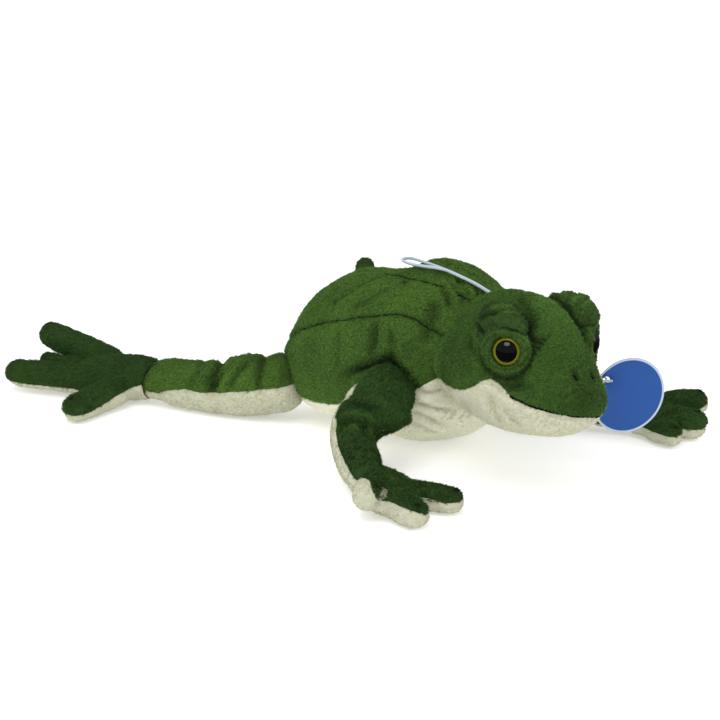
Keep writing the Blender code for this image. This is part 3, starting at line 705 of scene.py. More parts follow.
def dressHalves(rows, faces, value, carry, top, under, darkest):
    # Cuts a form into its green top and cream underside, each given as its name, material, comb, slot, nodes
    # and fill; darkest is the limit of the underside's painted shade and dye
    halves = split(rows, faces, value)
    halves[1][0][:, 4] = np.clip(halves[1][0][:, 4], -1, darkest)
    for half, piece, sizes in zip(halves, (top, under), ((1.0, 1.0), (creamPileShare, creamPileLength))):
        name, material, comb, slot, nodes, fill = piece
        dress(makeSkin(name, *half, material, comb), carry, slot, nodes, fill, material, *sizes)


def rideOn(body):
    return lambda piece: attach(piece, body)


def bend():
    return lambda piece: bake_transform(piece)


# Body and belly

body = {
    "sections": (  # y, middle x, half width, height of the widest place, top, bottom
        (87.0, 3.0, 23.0, 40.0, 65.2, 16.5), (75.0, 3.0, 44.5, 34.0, 86.2, 1.5),
        (50.0, 4.0, 53.5, 38.0, 98.4, -0.8), (22.0, 6.0, 58.0, 42.0, 108.0, -1.3),
        (-8.0, 8.0, 61.0, 44.0, 113.5, -1.3), (-34.0, 9.0, 58.0, 48.0, 112.5, -1.0),
        (-54.0, 11.0, 42.0, 54.0, 104.0, 8.0), (-72.0, 10.0, 31.0, 62.0, 97.0, 21.0)),
    "rear": (3.0, 93.0, 46.0), "front": (9.0, -86.0, 62.0), "fullness": 0.75, "lean": 13.0,
    "dent": ((-7.0, 9.0), (-6.0, 7.0, 30.0, 58.0), 5.5),  # x range, y ranges, depth
    "farSlope": ((14.0, 34.0), (-46.0, -14.0), 5.5), "sunkAbove": (78, 96),
    # height of the green and cream seam along y
    "seam": ((-130, 92), (-90, 68), (-62, 57), (-50, 48), (-35, 40), (-20, 33.5), (10, 25.5), (35, 20.6),
             (60, 18.5), (90, 19), (130, 22)),
    "sideSeam": ((-27, 84, 46), (-31.3, 71.8, 54.1), (-35, 46, 67), (-37, 20.5, 77.7), (-35.1, -0.2, 83.7),
                 (-29.8, -22.1, 89.3), (-25.8, -35.1, 89.6), (-23, -46.6, 86.1), (-18.9, -59.2, 80.9)),
    "backSeam": ((9, 86, 66), (12, 62, 95), (8, 35, 106), (0, 16, 108), (-4.2, 4.8, 106.2),
                 (-6.3, -11.5, 106.8), (-4.5, -24.2, 107), (-2.6, -33.1, 106.5), (2, -48, 105),
                 (4, -60, 100)),
    "marks": ((-27.7, 32.5, 85.7), (-10.4, -14.9, 105.3), (9.8, -42.7, 107.5)),
    "mark": {"depth": 1.6, "width": 2.6, "shade": 1.1, "shadeWidth": 2.0}, "groove": (1.0, 2.0),
    "piping": (1.8, 1.5, 0), "seamShade": (0.55, 1.5), "farFolds": (slice(4, 12), 1.1, 0.8),
}
shoulder = {"right": (-52.0, -40.0, 44.0), "left": (61.0, -40.0, 44.0), "ball": 19.9}
hip = {"right": (-42.0, 74.0, 24.0), "left": (48.0, 74.0, 24.0), "ball": 20.4}
wrist = {"right": (-103.0, -80.0, 15.5), "left": (106.0, -98.0, 15.5), "ball": 12.9}
ankle = {"right": (-81.0, 149.0, 15.5), "left": (94.0, 146.0, 15.5), "ball": 13.7}
bodyRoom, endRoom = 0.9, 0.6  # between a ball and its hollow, in the body and in the head, hands and feet


def leanAt(y, z):
    # The body's leaning middle at a height
    rows = sorted(body["sections"])
    mid, widest, top = (np.interp(y, [r[0] for r in rows], [r[k] for r in rows]) for k in (1, 3, 4))
    return mid + body["lean"] * max(0.0, (z - widest) / max(top - widest, 1.0))


def mirroredOnBody(points):
    return tuple((2 * leanAt(y, z) - x, y, z) for x, y, z in points)


def seamAt(table, place):
    return np.interp(place, [p[0] for p in table], [p[1] for p in table])


bodyFolds = (  # points, width, depth, share that rises beside it
    (((-6, 5.4, 105.4), (-13.8, 14, 100.5), (-21.1, 23.1, 94), (-28, 30.5, 86)), 3.0, 1.9, 0.4),
    (((-2.9, 24.1, 103.2), (-13.4, 33.5, 96.5), (-23.4, 41.8, 87.4), (-30, 48, 77)), 4.5, -1.1, 0.01),
    (((-13.9, -12.2, 103.1), (-22, -2.5, 97.4), (-28.6, 5.2, 90.5), (-32.5, 16, 84)), 3.6, 1.3, 0.5),
    (((-20, 2, 99), (-27, 12, 91), (-32, 22, 83)), 3.2, -0.8, 0.01),
    (((-33.5, -14, 86), (-39.1, -17.6, 76.5), (-43.4, -19.5, 68), (-46, -20, 61)), 3.6, 2.4, 0.5),
    (((-37.5, 8.5, 79.5), (-41.5, 3, 72.5), (-44.2, -0.9, 67.3), (-48.2, -8.2, 54.7)), 2.8, -1.5, 0.01),
    (((-41, 14, 73), (-47, 8, 62), (-51, 4, 50)), 3.4, 1.2, 0.4),
    (((-34, -19.5, 85.5), (-37.5, -26.9, 76.3), (-39.8, -33.1, 69)), 2.4, -1.6, 0.01),
    (((-34, -27, 82), (-35.7, -29.5, 78.4), (-38.5, -34.4, 70.4), (-39, -37, 64)), 2.4, 1.7, 0.4),
    (((-30.5, -29, 87), (-35.3, -37.3, 73.6), (-36.2, -45.6, 58.2)), 2.6, -1.4, 0.01),
    (((-53, 2, 42), (-48.8, -7.8, 52.8), (-47.1, -16.3, 56.8), (-44.8, -24.8, 60.5), (-41.2, -33, 64.5),
      (-37.2, -38, 58), (-34, -46, 50), (-30, -54, 44)), 3.4, 5.0, 0.2),
    (((-9, -41, 100), (-16.8, -47, 91.6), (-22, -49, 84.7), (-27, -50, 74)), 4.2, 2.2, 0.3),
    (((4.5, -36, 108.2), (5.2, -43, 106), (3, -51, 102), (-1, -57, 98)), 1.7, 2.2, 0.8),
    (((9, -37, 109), (9.4, -44, 106.5), (7, -52, 103), (4.8, -58, 100)), 1.7, 2.2, 0.8),
    (((14.5, -46, 106.5), (13.4, -53, 104), (11.1, -59, 101.5)), 1.7, 2.2, 0.8),
    (((-3, -38, 105.5), (-5, -47, 102), (-9, -55, 96)), 2.0, 1.8, 0.7),
    (((20.4, -12, 112.5), (21.9, -26.6, 111.9), (23.7, -42.8, 108.3)), 3.2, 1.8, 0.6),
    (((27, -30, 111), (29, -42, 108), (31, -54, 103)), 2.6, 1.8, 0.7),
    (((35, -20, 108), (38, -36, 105), (41, -50, 98)), 3.2, 1.8, 0.6),
)
bellyFolds = (
    (((-33, -46, 40), (-25.6, -50, 37.5), (-17.4, -54.8, 36.9), (-8, -58, 38)), 1.8, 1.8, 0.7),
    (((-33, -44, 33), (-25, -47, 31), (-19.4, -48.1, 29.2), (-4.7, -50.9, 25.9)), 2.0, 1.7, 0.7),
    (((-32, -50, 46), (-25, -54, 46), (-16, -60, 50)), 2.0, 1.5, 0.7),
    (((-36, -40, 24), (-24, -44, 20), (-8, -46, 16)), 2.4, 1.3, 0.6),
)


def bodyForm():
    rings = [[(mid + x, y, z)
              for x, z in eggRing(wide, widest, top, bottom, 12, 0.0, body["fullness"], body["lean"])]
             for y, mid, wide, widest, top, bottom in body["sections"]]
    corners, faces = rounded(*loft(rings, body["rear"], body["front"]), skinLevels)
    corners = swollen(corners, faces, -skinUnderPile)
    x, y, z = corners.T
    across, along, depth = body["dent"]
    sunk = depth * eased(x, *across) * eased(y, along[0], along[1]) * (1 - eased(y, along[2], along[3]))
    across, along, depth = body["farSlope"]
    sunk = sunk + depth * eased(x, *across) * (1 - eased(y, *along))
    corners = corners - np.stack([0 * z, 0 * z, sunk * eased(z, *body["sunkAbove"])], axis=1)
    lines = (body["sideSeam"], body["backSeam"], mirroredOnBody(body["sideSeam"]))
    seams = [snapped(line, corners, faces) for line in lines]
    copied, wider, deeper = body["farFolds"]
    farFolds = [(line, width * wider, depth * deeper, rise) for line, width, depth, rise in bodyFolds[copied]]
    folds = (laid(bodyFolds, corners, faces) + laid(farFolds, corners, faces, mirroredOnBody)
             + laid(bellyFolds, corners, faces) + laid(bellyFolds, corners, faces, mirroredOnBody))
    corners, shade = press(corners, faces, folds)
    corners, shade = roughened(corners, faces, shade, (26.0, 1, 1.3), (9.0, 2, 0.4))
    corners = press(corners, faces, [(line, *body["piping"]) for line in seams])[0]
    mark = body["mark"]
    for place in body["marks"]:
        gap = fromPoint(corners, snapped([place], corners, faces)[0])
        corners = swollen(corners, faces, -mark["depth"] * bell(gap, mark["width"]))
        shade = np.maximum(shade, mark["shade"] * bell(gap, mark["shadeWidth"]))
    strength, width = body["seamShade"]
    for line in seams:
        shade = np.maximum(shade, strength * nearLine(corners, line, width))
    away = corners[:, 2] - seamAt(body["seam"], corners[:, 1])
    depth, width = body["groove"]
    return swollen(corners, faces, -depth * bell(away, width)), faces, shade, seams


# the dark strip that stands in for the shadow in a seam's groove: how far out it sits, its radius, and how it
# thins to its ends
stitch = {"rise": 0.45, "radius": 0.36, "taper": 5, "thin": 0.3}


def seamShadowLine(points, corners, faces):
    # Painted shadow for a closed seam: a dark strip along the bottom of its groove
    tree = treeOf(corners, faces)
    line = []
    for point in smoothLine(points, 10):
        place, normal = tree.find_nearest(Vector(point))[:2]
        line.append(place + normal * stitch["rise"])
    fromEnd = np.minimum(np.arange(len(line)), np.arange(len(line))[::-1])
    return pipe(line, stitch["radius"], 6, np.clip(fromEnd / stitch["taper"], stitch["thin"], 1))


def makeBody():
    base, faces, shade, seams = bodyRest
    corners = shapes["body"][0]
    moved = movedFrom(base, corners)
    _, hidden, near = touchedBy(corners, faces, [kind + side for kind in ("arm_", "leg_") for side in sides])
    # painted shadow on the body, reaching far, where the head overhangs it
    corners, inHead, nearHead = touchedBy(corners, faces, ["head"], 1.8, 11.0)
    hidden, near = np.maximum(hidden, inHead), np.maximum(near, nearHead * 1.7)
    corners = lifted(corners)
    value = corners[:, 2] - seamAt(body["seam"], corners[:, 1])
    stitched = 0.9 * np.max([nearLine(corners, line, 1.0) for line in seams], axis=0)
    bare = np.max([hidden, moved, edgeOf(value), stitched], axis=0)
    rows = np.column_stack([corners, bare, darkened(shade, near)])
    dressHalves(rows, faces, value, rideOn("torso"),
                ("back", greenPile, flow((0.0, 1.0, -0.5)), "green_pile", ["body"], 0.75),
                ("bellyPad", litCreamPile, flow((0.0, 1.0, -0.2)), "cream_pile", ["belly"], 0.7), 0.6)
    # dark strips in the seams' grooves stand in for their shadow
    for name, line in zip(("side_seam_right", "back_seam", "side_seam_left"), seams):
        plainPiece(name, *seamShadowLine(line, corners, faces), seamShadowStrip, "torso", "")


# Head, throat, brows and eye collars

neck = (6.0, -54.0, 72.0)
neckBall = 40.6
head = {
    "turn": 14.0, "roll": 3.0,
    "sections": (  # forward, half width, height of the widest place, top, bottom
        (16.0, 34.0, -2.0, 30.5, -24.0), (30.0, 41.5, -4.0, 41.0, -31.0), (46.0, 46.0, -4.0, 45.0, -35.5),
        (68.0, 46.5, -4.0, 47.5, -38.0), (88.0, 42.0, -5.0, 47.0, -36.0), (106.0, 37.5, -6.0, 35.5, -31.5),
        (122.0, 31.0, -7.0, 21.0, -26.0), (133.0, 21.0, -7.0, 10.0, -20.0)),
    "farSide": ((88.0, 112.0), 5.5),  # where the left side of the snout is drawn in, and how far
    "farLip": (3.4, (0, 18), (108, 124)),  # how much lower the mouth ends on that side, and from where
    "lipDepth": ((95, 106), (1.3, 2.0)), "lipWidth": 2.0, "lipFrom": (114, 128), "farFrom": (2, 24),
    "rear": (12.0, 0.0), "tip": (140.0, -6.0), "taper": 0.27, "lip": 2.2,
    "seam": ((-60, -10), (20, -11), (48, -11.5), (61, -10.5), (70, -8.2), (77, -4.5), (83, 0.2), (88, 3.0),
             (92, 2.4), (98, 0.2), (106, -2.4), (115, -4.5), (124, -6.3), (131, -8.0), (134, -9.6),
             (136.5, -11.7), (150, -12.5)),
    "crown": ((12, 80, 48), 26.0, -1.0),  # painted light on the top of the head: its middle, radius and strength
    # the shadow where the cheek turns in to the body: its line, width and strength
    "rim": (((-36, 40, 32), (-45, 44, 16), (-47, 47, -2), (-43, 52, -18)), 5.5, 0.45),
    # darker spots on the snout tip and its sides, and painted shade in front of the brows over the eyes:
    # middle, radius and strength
    "darkerSpots": (((0, 140, 3), 12, 0.5), ((-14, 134, 0), 9, 0.25), ((14, 134, 0), 9, 0.25),
                 ((-20, 100, 30), 9, 0.35), ((20, 100, 30), 9, 0.35)),
}
eyes = {"seat": (30.2, 93.8, 20.5), "turn": 46.0, "lift": 8.0, "farDrawn": 1.3}
headPose = Matrix.Translation(Vector(neck)) @ Euler((0, math.radians(head["roll"]),
                                                    -math.radians(head["turn"]))).to_matrix().to_4x4()


def placedBy(matrix, corners):
    m = np.array(matrix)
    return np.asarray(corners, float) @ m[:3, :3].T + m[:3, 3]


def fromHead(points):
    # Corners in the head's own axes (left, -forward, up) taken to the pattern's frame
    return placedBy(headPose, points)


def headPoint(left, forward, up):
    return left, -forward, up


def headLine(points):
    return [headPoint(*point) for point in points]


headFolds = (  # left, forward, up; drawn on the right and mirrored to the left
    (((-9, 60, 46), (-11, 76, 47), (-14, 90, 42), (-20, 103, 31)), 3.4, 2.6, 0.4),
    (((-33, 56, 22), (-36, 66, 17), (-38.5, 76, 10)), 2.2, 1.8, 0.8),
    (((-34, 66, 24), (-38, 75, 16), (-40, 84, 8)), 2.0, 1.4, 0.7),
    (((-31, 56, 28), (-35, 62, 22), (-38, 66, 15)), 2.0, 1.4, 0.7),
    (((-39, 82, 12), (-38, 94, 4), (-33, 106, 4), (-26, 114, 8)), 3.4, 2.2, 0.4),
    (((-31, 100, 6), (-27, 112, 2), (-24, 120, 2)), 5.0, 1.0, 0.3),
    (((-44, 30, 5), (-46, 44, 2), (-45, 60, 2)), 8.0, -0.8, 0.01),
)
throatFolds = (
    (((-39, 92, -4), (-36, 94, -14), (-30, 96, -24)), 3.6, 1.6, 0.6),
    (((-37, 102, -8), (-33, 106, -18), (-27, 108, -26)), 3.4, 1.4, 0.6),
    (((-42, 70, -14), (-40, 66, -24), (-30, 62, -31)), 5.0, 1.2, 0.4),
)


def mirrored(points):
    return tuple((-x, y, z) for x, y, z in points)


def eyeSeat(side):
    # The place of an eye, with Z along its line of sight, in the head's own axes
    sign, (left, forward, up) = signOf[side], eyes["seat"]
    left -= eyes["farDrawn"] if side == "left" else 0.0
    turn = sightAt(eyes["turn"] * sign, eyes["lift"]).to_track_quat("Z", "Y").to_matrix().to_4x4()
    return Matrix.Translation((sign * left, -forward, up)) @ turn


socket = {"floor": -2.4, "inner": 14.2, "outer": 19.5, "rise": 9.0, "moat": 16.4, "moatWidth": 1.8,
          "shade": 0.75, "shadeDepth": -12}


def intoSocket(corners, side):
    # Sinks the round seat of an eye into the head; the second result is the shadow round it
    local = placedBy(eyeSeat(side).inverted(), corners)
    out = np.linalg.norm(local[:, :2], axis=1)
    limit = socket["floor"] + socket["rise"] * eased(out, socket["inner"], socket["outer"])
    over = (local[:, 2] > limit) & (out < socket["outer"])
    local[over, 2] = limit[over]
    shade = socket["shade"] * bell(out - socket["moat"], socket["moatWidth"])
    shade = shade * (local[:, 2] > socket["shadeDepth"])
    return placedBy(eyeSeat(side), local), shade


nostril = {"spread": 5.8, "shift": 1.6, "forward": 127.3, "half": (0.6, 1.4), "dent": 1.5, "radius": 2.4,
           "strands": (-0.35, 0.35), "strand": 0.55}


def nostrilPlaces():
    return [(sign * nostril["spread"] + nostril["shift"], nostril["forward"]) for sign in (-1, 1)]


def mouthAt(corners):
    # Height of the line between the green top and the cream throat, in the head's own axes
    left, forward = corners[:, 0], -corners[:, 1]
    drop, across, along = head["farLip"]
    return seamAt(head["seam"], forward) - drop * eased(left, *across) * eased(forward, *along)


def headForm():
    rings = [[(x, -forward, z) for x, z in eggRing(wide, widest, top, bottom, 12, head["taper"])]
             for forward, wide, widest, top, bottom in head["sections"]]
    rear, tip = (headPoint(0.0, *head[key]) for key in ("rear", "tip"))
    corners, faces = rounded(*loft(rings, rear, tip), skinLevels)
    corners = swollen(corners, faces, -skinUnderPile)
    folds = []
    for fold in headFolds + throatFolds:
        folds += laid([fold], corners, faces, headLine)
        folds += laid([fold], corners, faces, lambda line: headLine(mirrored(line)))
    corners, shade = press(corners, faces, folds)
    corners, shade = roughened(corners, faces, shade, (22.0, 3, 1.0), (8.0, 4, 0.3))
    away = corners[:, 2] - mouthAt(corners)
    span, drawn = head["farSide"]
    corners[:, 0] -= drawn * eased(-corners[:, 1], *span) * eased(corners[:, 0], *head["farFrom"])
    corners[:, 1] += head["lip"] * eased(-corners[:, 1], *head["lipFrom"]) * eased(-away, -0.5, 2.5)
    depth = np.interp(-corners[:, 1], *head["lipDepth"])
    corners = swollen(corners, faces, -depth * bell(away, head["lipWidth"]))
    for left, forward in nostrilPlaces():
        gap = np.hypot(corners[:, 0] - left, corners[:, 1] + forward)
        dip = bell(gap, nostril["radius"]) * (corners[:, 2] > 0)
        corners = swollen(corners, faces, -nostril["dent"] * dip)
        shade = np.maximum(shade, 0.6 * dip)
    for side in sides:
        corners, moat = intoSocket(corners, side)
        shade = np.maximum(shade, moat)
    # darker spots on the snout, and painted shade in front of the brows over the eyes
    for centre, radius, strength in head["darkerSpots"]:
        shade = spotted(shade, corners, headPoint(*centre), radius, strength)
    rim, width, strength = head["rim"]
    shade = np.maximum(shade, strength * nearLine(corners, headLine(rim), width))
    # painted light on the top of the head
    crown, radius, strength = head["crown"]
    return corners, faces, shade + strength * bell(fromPoint(corners, headPoint(*crown)), radius)


def headFlow(corners):
    # Hair runs back from the snout and down the cheeks
    turn = np.array(headPose)[:3, :3]
    local = (corners - np.array(neck)) @ turn
    back = np.stack([0.006 * local[:, 0], np.ones(len(local)), -0.35 * np.ones(len(local))], axis=1)
    return back @ turn.T


def makeHead():
    local, faces, shade = headRest
    value = local[:, 2] - mouthAt(local)
    corners = shapes["head"][0]
    moved = movedFrom(fromHead(local), corners)
    corners, hidden, near = touchedBy(corners, faces, ["body"], 1.3)
    _, _, nearBrow = touchedBy(corners, faces, ["brow_right", "brow_left"], 0.0, 3.0)
    near = np.maximum(near * 1.2, nearBrow * 1.5)
    bare = np.max([hidden, moved, edgeOf(value)], axis=0)
    rows = np.column_stack([corners, bare, darkened(shade, near)])
    dressHalves(rows, faces, value, rideOn("head"),
                ("headSkin", headPile, headFlow, "green_pile", ["head"], 0.8),
                ("throatSkin", shadePile, headFlow, "cream_pile", ["throat"], 0.7), 0.5)


def turned(profile, sides):
    # Closed form turned round Z from a profile of radius and height that begins and ends on the axis
    turns = [2 * math.pi * k / sides for k in range(sides)]
    rings = [[(r * math.cos(t), r * math.sin(t), z) for t in turns] for r, z in profile[1:-1]]
    return loft(rings, (0, 0, profile[0][1]), (0, 0, profile[-1][1]))


brow = {"stations": ((21.5, 64.0, 33.5, 9.5, 8.0), (26.0, 77.0, 34.8, 12.0, 10.6),
                     (24.0, 91.0, 32.6, 9.6, 8.2)),
        "ahead": (17.0, 94.0, 38.0), "deepest": (32.0, 72.0, 42.0), "clear": 14.4, "farRise": 2.2,
        "farDrawn": -0.8}
browFolds = (
    (((-13, 80, 46), (-22, 77, 46), (-33, 73, 42)), 1.8, 1.6, 0.8),
    (((-15, 89, 43), (-25, 86, 44), (-35, 80, 40)), 1.6, 1.2, 0.8),
    (((-13, 70, 45), (-21, 66, 44), (-31, 62, 38)), 2.0, 1.4, 0.7),
    (((-30, 84, 40), (-34, 78, 38), (-34, 70, 34)), 1.8, 1.3, 0.7),
)
collar = {"profile": ((0, -1.9), (7.9, -1.9), (8.0, -0.9), (8.05, 1.0), (9.0, 2.5), (11.6, 3.3), (14.0, 2.4),
                      (15.2, -0.2), (15.0, -4), (13.4, -7), (9, -9), (0, -9)),
          "lowest": 0.4, "aside": 0.4, "ripple": 3.1, "hole": 9.0, "bareHole": 8.6, "bareBelow": -3.5}


def collarForm(side):
    sign = signOf[side]
    corners, faces = rounded(*turned(collar["profile"], 20), 3)
    angle = np.arctan2(corners[:, 1], corners[:, 0] * sign)
    out = np.linalg.norm(corners[:, :2], axis=1)
    high = corners[:, 2] > 0
    corners[high, 2] *= collar["lowest"] + (1 - collar["lowest"]) * eased(np.sin(angle[high]), -0.6, 0.7)
    reach = 1 + (0.05 * np.cos(2 * (angle - 0.7)) + 0.03 * np.sin(3 * angle)) * eased(out, 8.5, 12)
    corners = corners * np.stack([reach, reach, np.ones(len(reach))], axis=1)
    corners[:, 0] += sign * collar["aside"] * (1 - eased(out, 9, 12))
    turns = (out + 1.5 * np.sin(angle * 2 + sign)) * 2 * np.pi / collar["ripple"]
    ripple = np.sin(turns) * eased(out, 9, 11) * eased(corners[:, 2], -2, 0)
    corners = swollen(corners, faces, 0.14 * ripple + lumps(corners, 4.5, 11 + sign) * 0.7)
    # painted shade in the ripples' hollows and painted light on their crests, painted shade in the hole and on
    # the wall going down into the head, over a slight darkening of the whole collar
    shade = 0.12 - 0.18 * ripple + 0.6 * (out < collar["hole"]) + 0.4 * eased(-corners[:, 2], -1, 2)
    bare = ((out < collar["bareHole"]) | (corners[:, 2] < collar["bareBelow"])).astype(float)
    return corners, faces, bare, shade


def browForm(side):
    # The hood over an eye; it keeps clear of the collar that it leans on
    sign = signOf[side]
    rise, drawn = (brow["farRise"], brow["farDrawn"]) if side == "left" else (0.0, 0.0)
    stations = [(sign * left - drawn, -forward, up + rise, wide, high)
                for left, forward, up, wide, high in brow["stations"]]
    corners, faces = rounded(*tube(stations, 8), skinLevels)
    folds = laid(browFolds, corners, faces, lambda line: headLine(line if sign < 0 else mirrored(line)))
    corners, shade = press(corners, faces, folds)
    corners = swollen(corners, faces, lumps(corners, 7.0, 21 + sign) * 0.7)
    local = placedBy(eyeSeat(side).inverted(), corners)
    out = np.linalg.norm(local[:, :2], axis=1)
    pushed = np.maximum(out, brow["clear"]) / np.maximum(out, 1e-6)
    local[:, :2] *= pushed[:, None]
    (ahead, forward, up), (left, back, top) = brow["ahead"], brow["deepest"]
    # darker round two given points, painted light on its top, and painted shade where it is pushed back round
    # the collar
    shade = shade + 0.4 * bell(fromPoint(corners, (-sign * ahead, -forward, up)), 9.0)
    shade = shade + 0.6 * bell(fromPoint(corners, (sign * left, -back, top)), 10.0)
    shade = shade - 0.35 * eased(corners[:, 2], 40.5, 45.0)
    return placedBy(eyeSeat(side), local), faces, shade + 0.5 * (pushed > 1.0)


eyeball = {
    "sides": 48,  # profiles of radius and height
    "iris_": ((0, 0.2), (6.3, 0.2), (6.35, 1.5), (6.6, 1.6), (7.6, 1.15), (8.1, 0.6), (8.3, 0.1), (8.3, -1.4),
              (8.1, -1.6), (2.5, -1.6), (2.4, -1.8), (2.4, -11.8), (2.2, -12.0), (0, -12.0)),
    "pupil_": ((0, 4.5), (1.3, 4.45), (2.8, 4.2), (4.3, 3.65), (5.6, 2.85), (6.3, 2.1), (6.6, 1.5),
               (6.6, 1.0), (6.35, 0.45), (0, 0.45)),
}


def makeEyes(side):
    seat = headPose @ eyeSeat(side)
    corners, faces, bare, shade = collarForm(side)
    rows = np.column_stack([placedBy(seat, corners), bare, shade])
    skin = makeSkin("collar_" + side, rows, faces, headPile, headFlow)
    dress(skin, rideOn("head"), "dark_green_pile", ["eye_pad_" + side], 0.8, headPile, 1.0, 0.8)
    corners, faces, shade = browRest[side]
    corners, hidden, near = touchedBy(fromHead(corners), faces, ["head"], 0.3)
    rows = np.column_stack([corners, hidden, darkened(shade, near)])
    skin = makeSkin("brow_pad_" + side, rows, faces, browPile, headFlow)
    dress(skin, rideOn("head"), "dark_green_pile", ["brow_" + side], 0.8, browPile, 1.0, 0.9)
    for name, material, slot, node, levels in (("iris_disc_", olivePlastic, "olive_plastic", "iris_", 0),
                                               ("pupil_dome_", blackPlastic, "black_plastic", "pupil_", 1)):
        corners, faces = turned(eyeball[node], eyeball["sides"])
        if levels:
            corners, faces = rounded(corners, faces, levels)
        plainPiece(name + side, placedBy(seat, corners), faces, material, "head", slot, [node + side])


# Limbs

limbs = {
    "arm_right": ((-52, -43, 43, 21, 20), (-63.5, -40.5, 35, 23, 20.5), (-76, -41, 26.5, 19.5, 19),
                  (-89.5, -56.5, 18.5, 14.4, 16.5), (-100.5, -77, 15.5, 13.0, 13.8)),
    "arm_left": ((61, -40, 44, 20, 20), (74, -43, 35, 20.5, 20.5), (85.5, -52, 25.5, 19, 19),
                 (95, -71, 18.5, 16, 17), (104.5, -94, 15.5, 13.5, 13.8)),
    "leg_right": ((-42, 74, 24, 20.5, 21), (-53, 91, 20.4, 21.5, 21.8), (-63, 110, 16.4, 19.2, 18.0),
                  (-72, 129, 16.8, 17.5, 18.3), (-79.5, 146, 17.6, 13.4, 15.6)),
    "leg_left": ((48, 74, 24, 20.5, 21), (60, 91, 20.2, 20.5, 21.4), (72, 109, 16.6, 18, 18.3),
                 (83, 127, 16.5, 17.5, 17.9), (92.5, 142.5, 16.5, 14.8, 15.6)),
}
limbDetail = {
    "pinch": {"leg": ((0.07, 3.0, 2.6), (0.45, 4.6, 3.6), (0.64, 3.0, 1.2)),  # how far along, width, depth
              "arm": ((0.3, 3.0, 0.9), (0.55, 4.0, 1.2))},
    "ball": {"arm": (19.4, 12.5), "leg": (19.9, 13.3)},
    "dents": {"arm_right": (((-71, -60, 22), 8.0, 5.0), ((-62, -62, 14), 12.0, 6.5),
                            ((-52, -62, 42), 10.0, -3.5)),
              "arm_left": (((74, -62, 27), 9.0, 3.0),)},  # centre, radius, depth
    "seed": {"arm_right": 5, "arm_left": 6, "leg_right": 7, "leg_left": 8},
    "groove": (1.2, 2.0), "armSeam": 3.0, "shadow": 0.6,  # along the seam: depth and width
    "bend": (1.0, 22.0), "bareEnd": 7.0,  # bend is not used; bareEnd is how far past the far joint the skin is bare
}
limbFolds = {
    "arm_right": ((((-80, -28, 34), (-72, -44, 40), (-60, -58, 40)), 2.6, 1.4, 0.5),
                  (((-86, -34, 30), (-84, -50, 34), (-72, -60, 30)), 2.4, 1.6, 0.6),
                  (((-78, -52, 40), (-86, -58, 30), (-84, -66, 20)), 2.6, 1.4, 0.6),
                  (((-45, -58, 40), (-52, -60, 36)), 9.0, -4.0, 0.01)),
    "arm_left": ((((78, -32, 40), (76, -50, 40), (66, -60, 34)), 2.6, 1.4, 0.5),
                 (((92, -44, 34), (88, -58, 36), (78, -66, 28)), 2.4, 1.4, 0.6)),
    "leg_right": ((((-44, 88, 38), (-50, 98, 38), (-58, 100, 34)), 2.4, 1.4, 0.6),
                  (((-52, 84, 36), (-60, 86, 30), (-66, 90, 20)), 2.6, 1.6, 0.6),
                  (((-56, 92, 37), (-66, 94, 28), (-72, 100, 18)), 2.2, 1.1, 0.6)),
    "leg_left": ((((54, 90, 38), (62, 98, 37), (70, 98, 33)), 2.4, 1.4, 0.6),
                 (((60, 84, 36), (68, 86, 30), (74, 92, 20)), 2.6, 1.6, 0.6)),
}
# how far along a limb, and there the turn of an arm's seam or the height of a leg's
armRoll = ((0.0, 0.1, 0.25, 0.45, 1.0), (40.0, 66.0, 84.0, 60.0, 38.0))
legSeam = ((0.0, 0.7, 0.9, 1.0), (1.5, 1.5, -3.0, -7.0))
beyond = {"arm": "hand_", "leg": "foot_", "hand": "arm_", "foot": "leg_"}  # what each joins at its far seam


def alongLimb(corners, stations):
    # For each corner: how far along the limb it lies, its offset across and up in the limb's own section, and
    # the limb's direction there
    line = smoothLine([s[:3] for s in stations], 8)
    along = distanceTo(corners, line)[1]
    spot = along * (len(line) - 1)
    low = np.clip(spot.astype(int), 0, len(line) - 2)
    share = (spot - low)[:, None]
    way = unitRows(line[low + 1] - line[low])
    side = unitRows(np.cross(way, (0, 0, 1.0)))
    offset = corners - (line[low] * (1 - share) + line[low + 1] * share)
    return along, (offset * side).sum(1), (offset * np.cross(side, way)).sum(1), way


def ballEnd(corners, centre, radius, way):
    # The end of a limb follows the ball it turns on
    out = corners - np.array(centre)
    length = np.linalg.norm(out, axis=1)
    ball = np.array(centre) + out * (radius / np.maximum(length, 1e-6))[:, None]
    share = eased(out @ way, -4, 8)[:, None]
    return corners * (1 - share) + ball * share


def limbWays(stations):
    # Directions out of the limb at its root and at its far end
    places = [np.array(s[:3]) for s in stations]
    return unit(places[0] - places[1]), unit(places[-1] - places[-2])


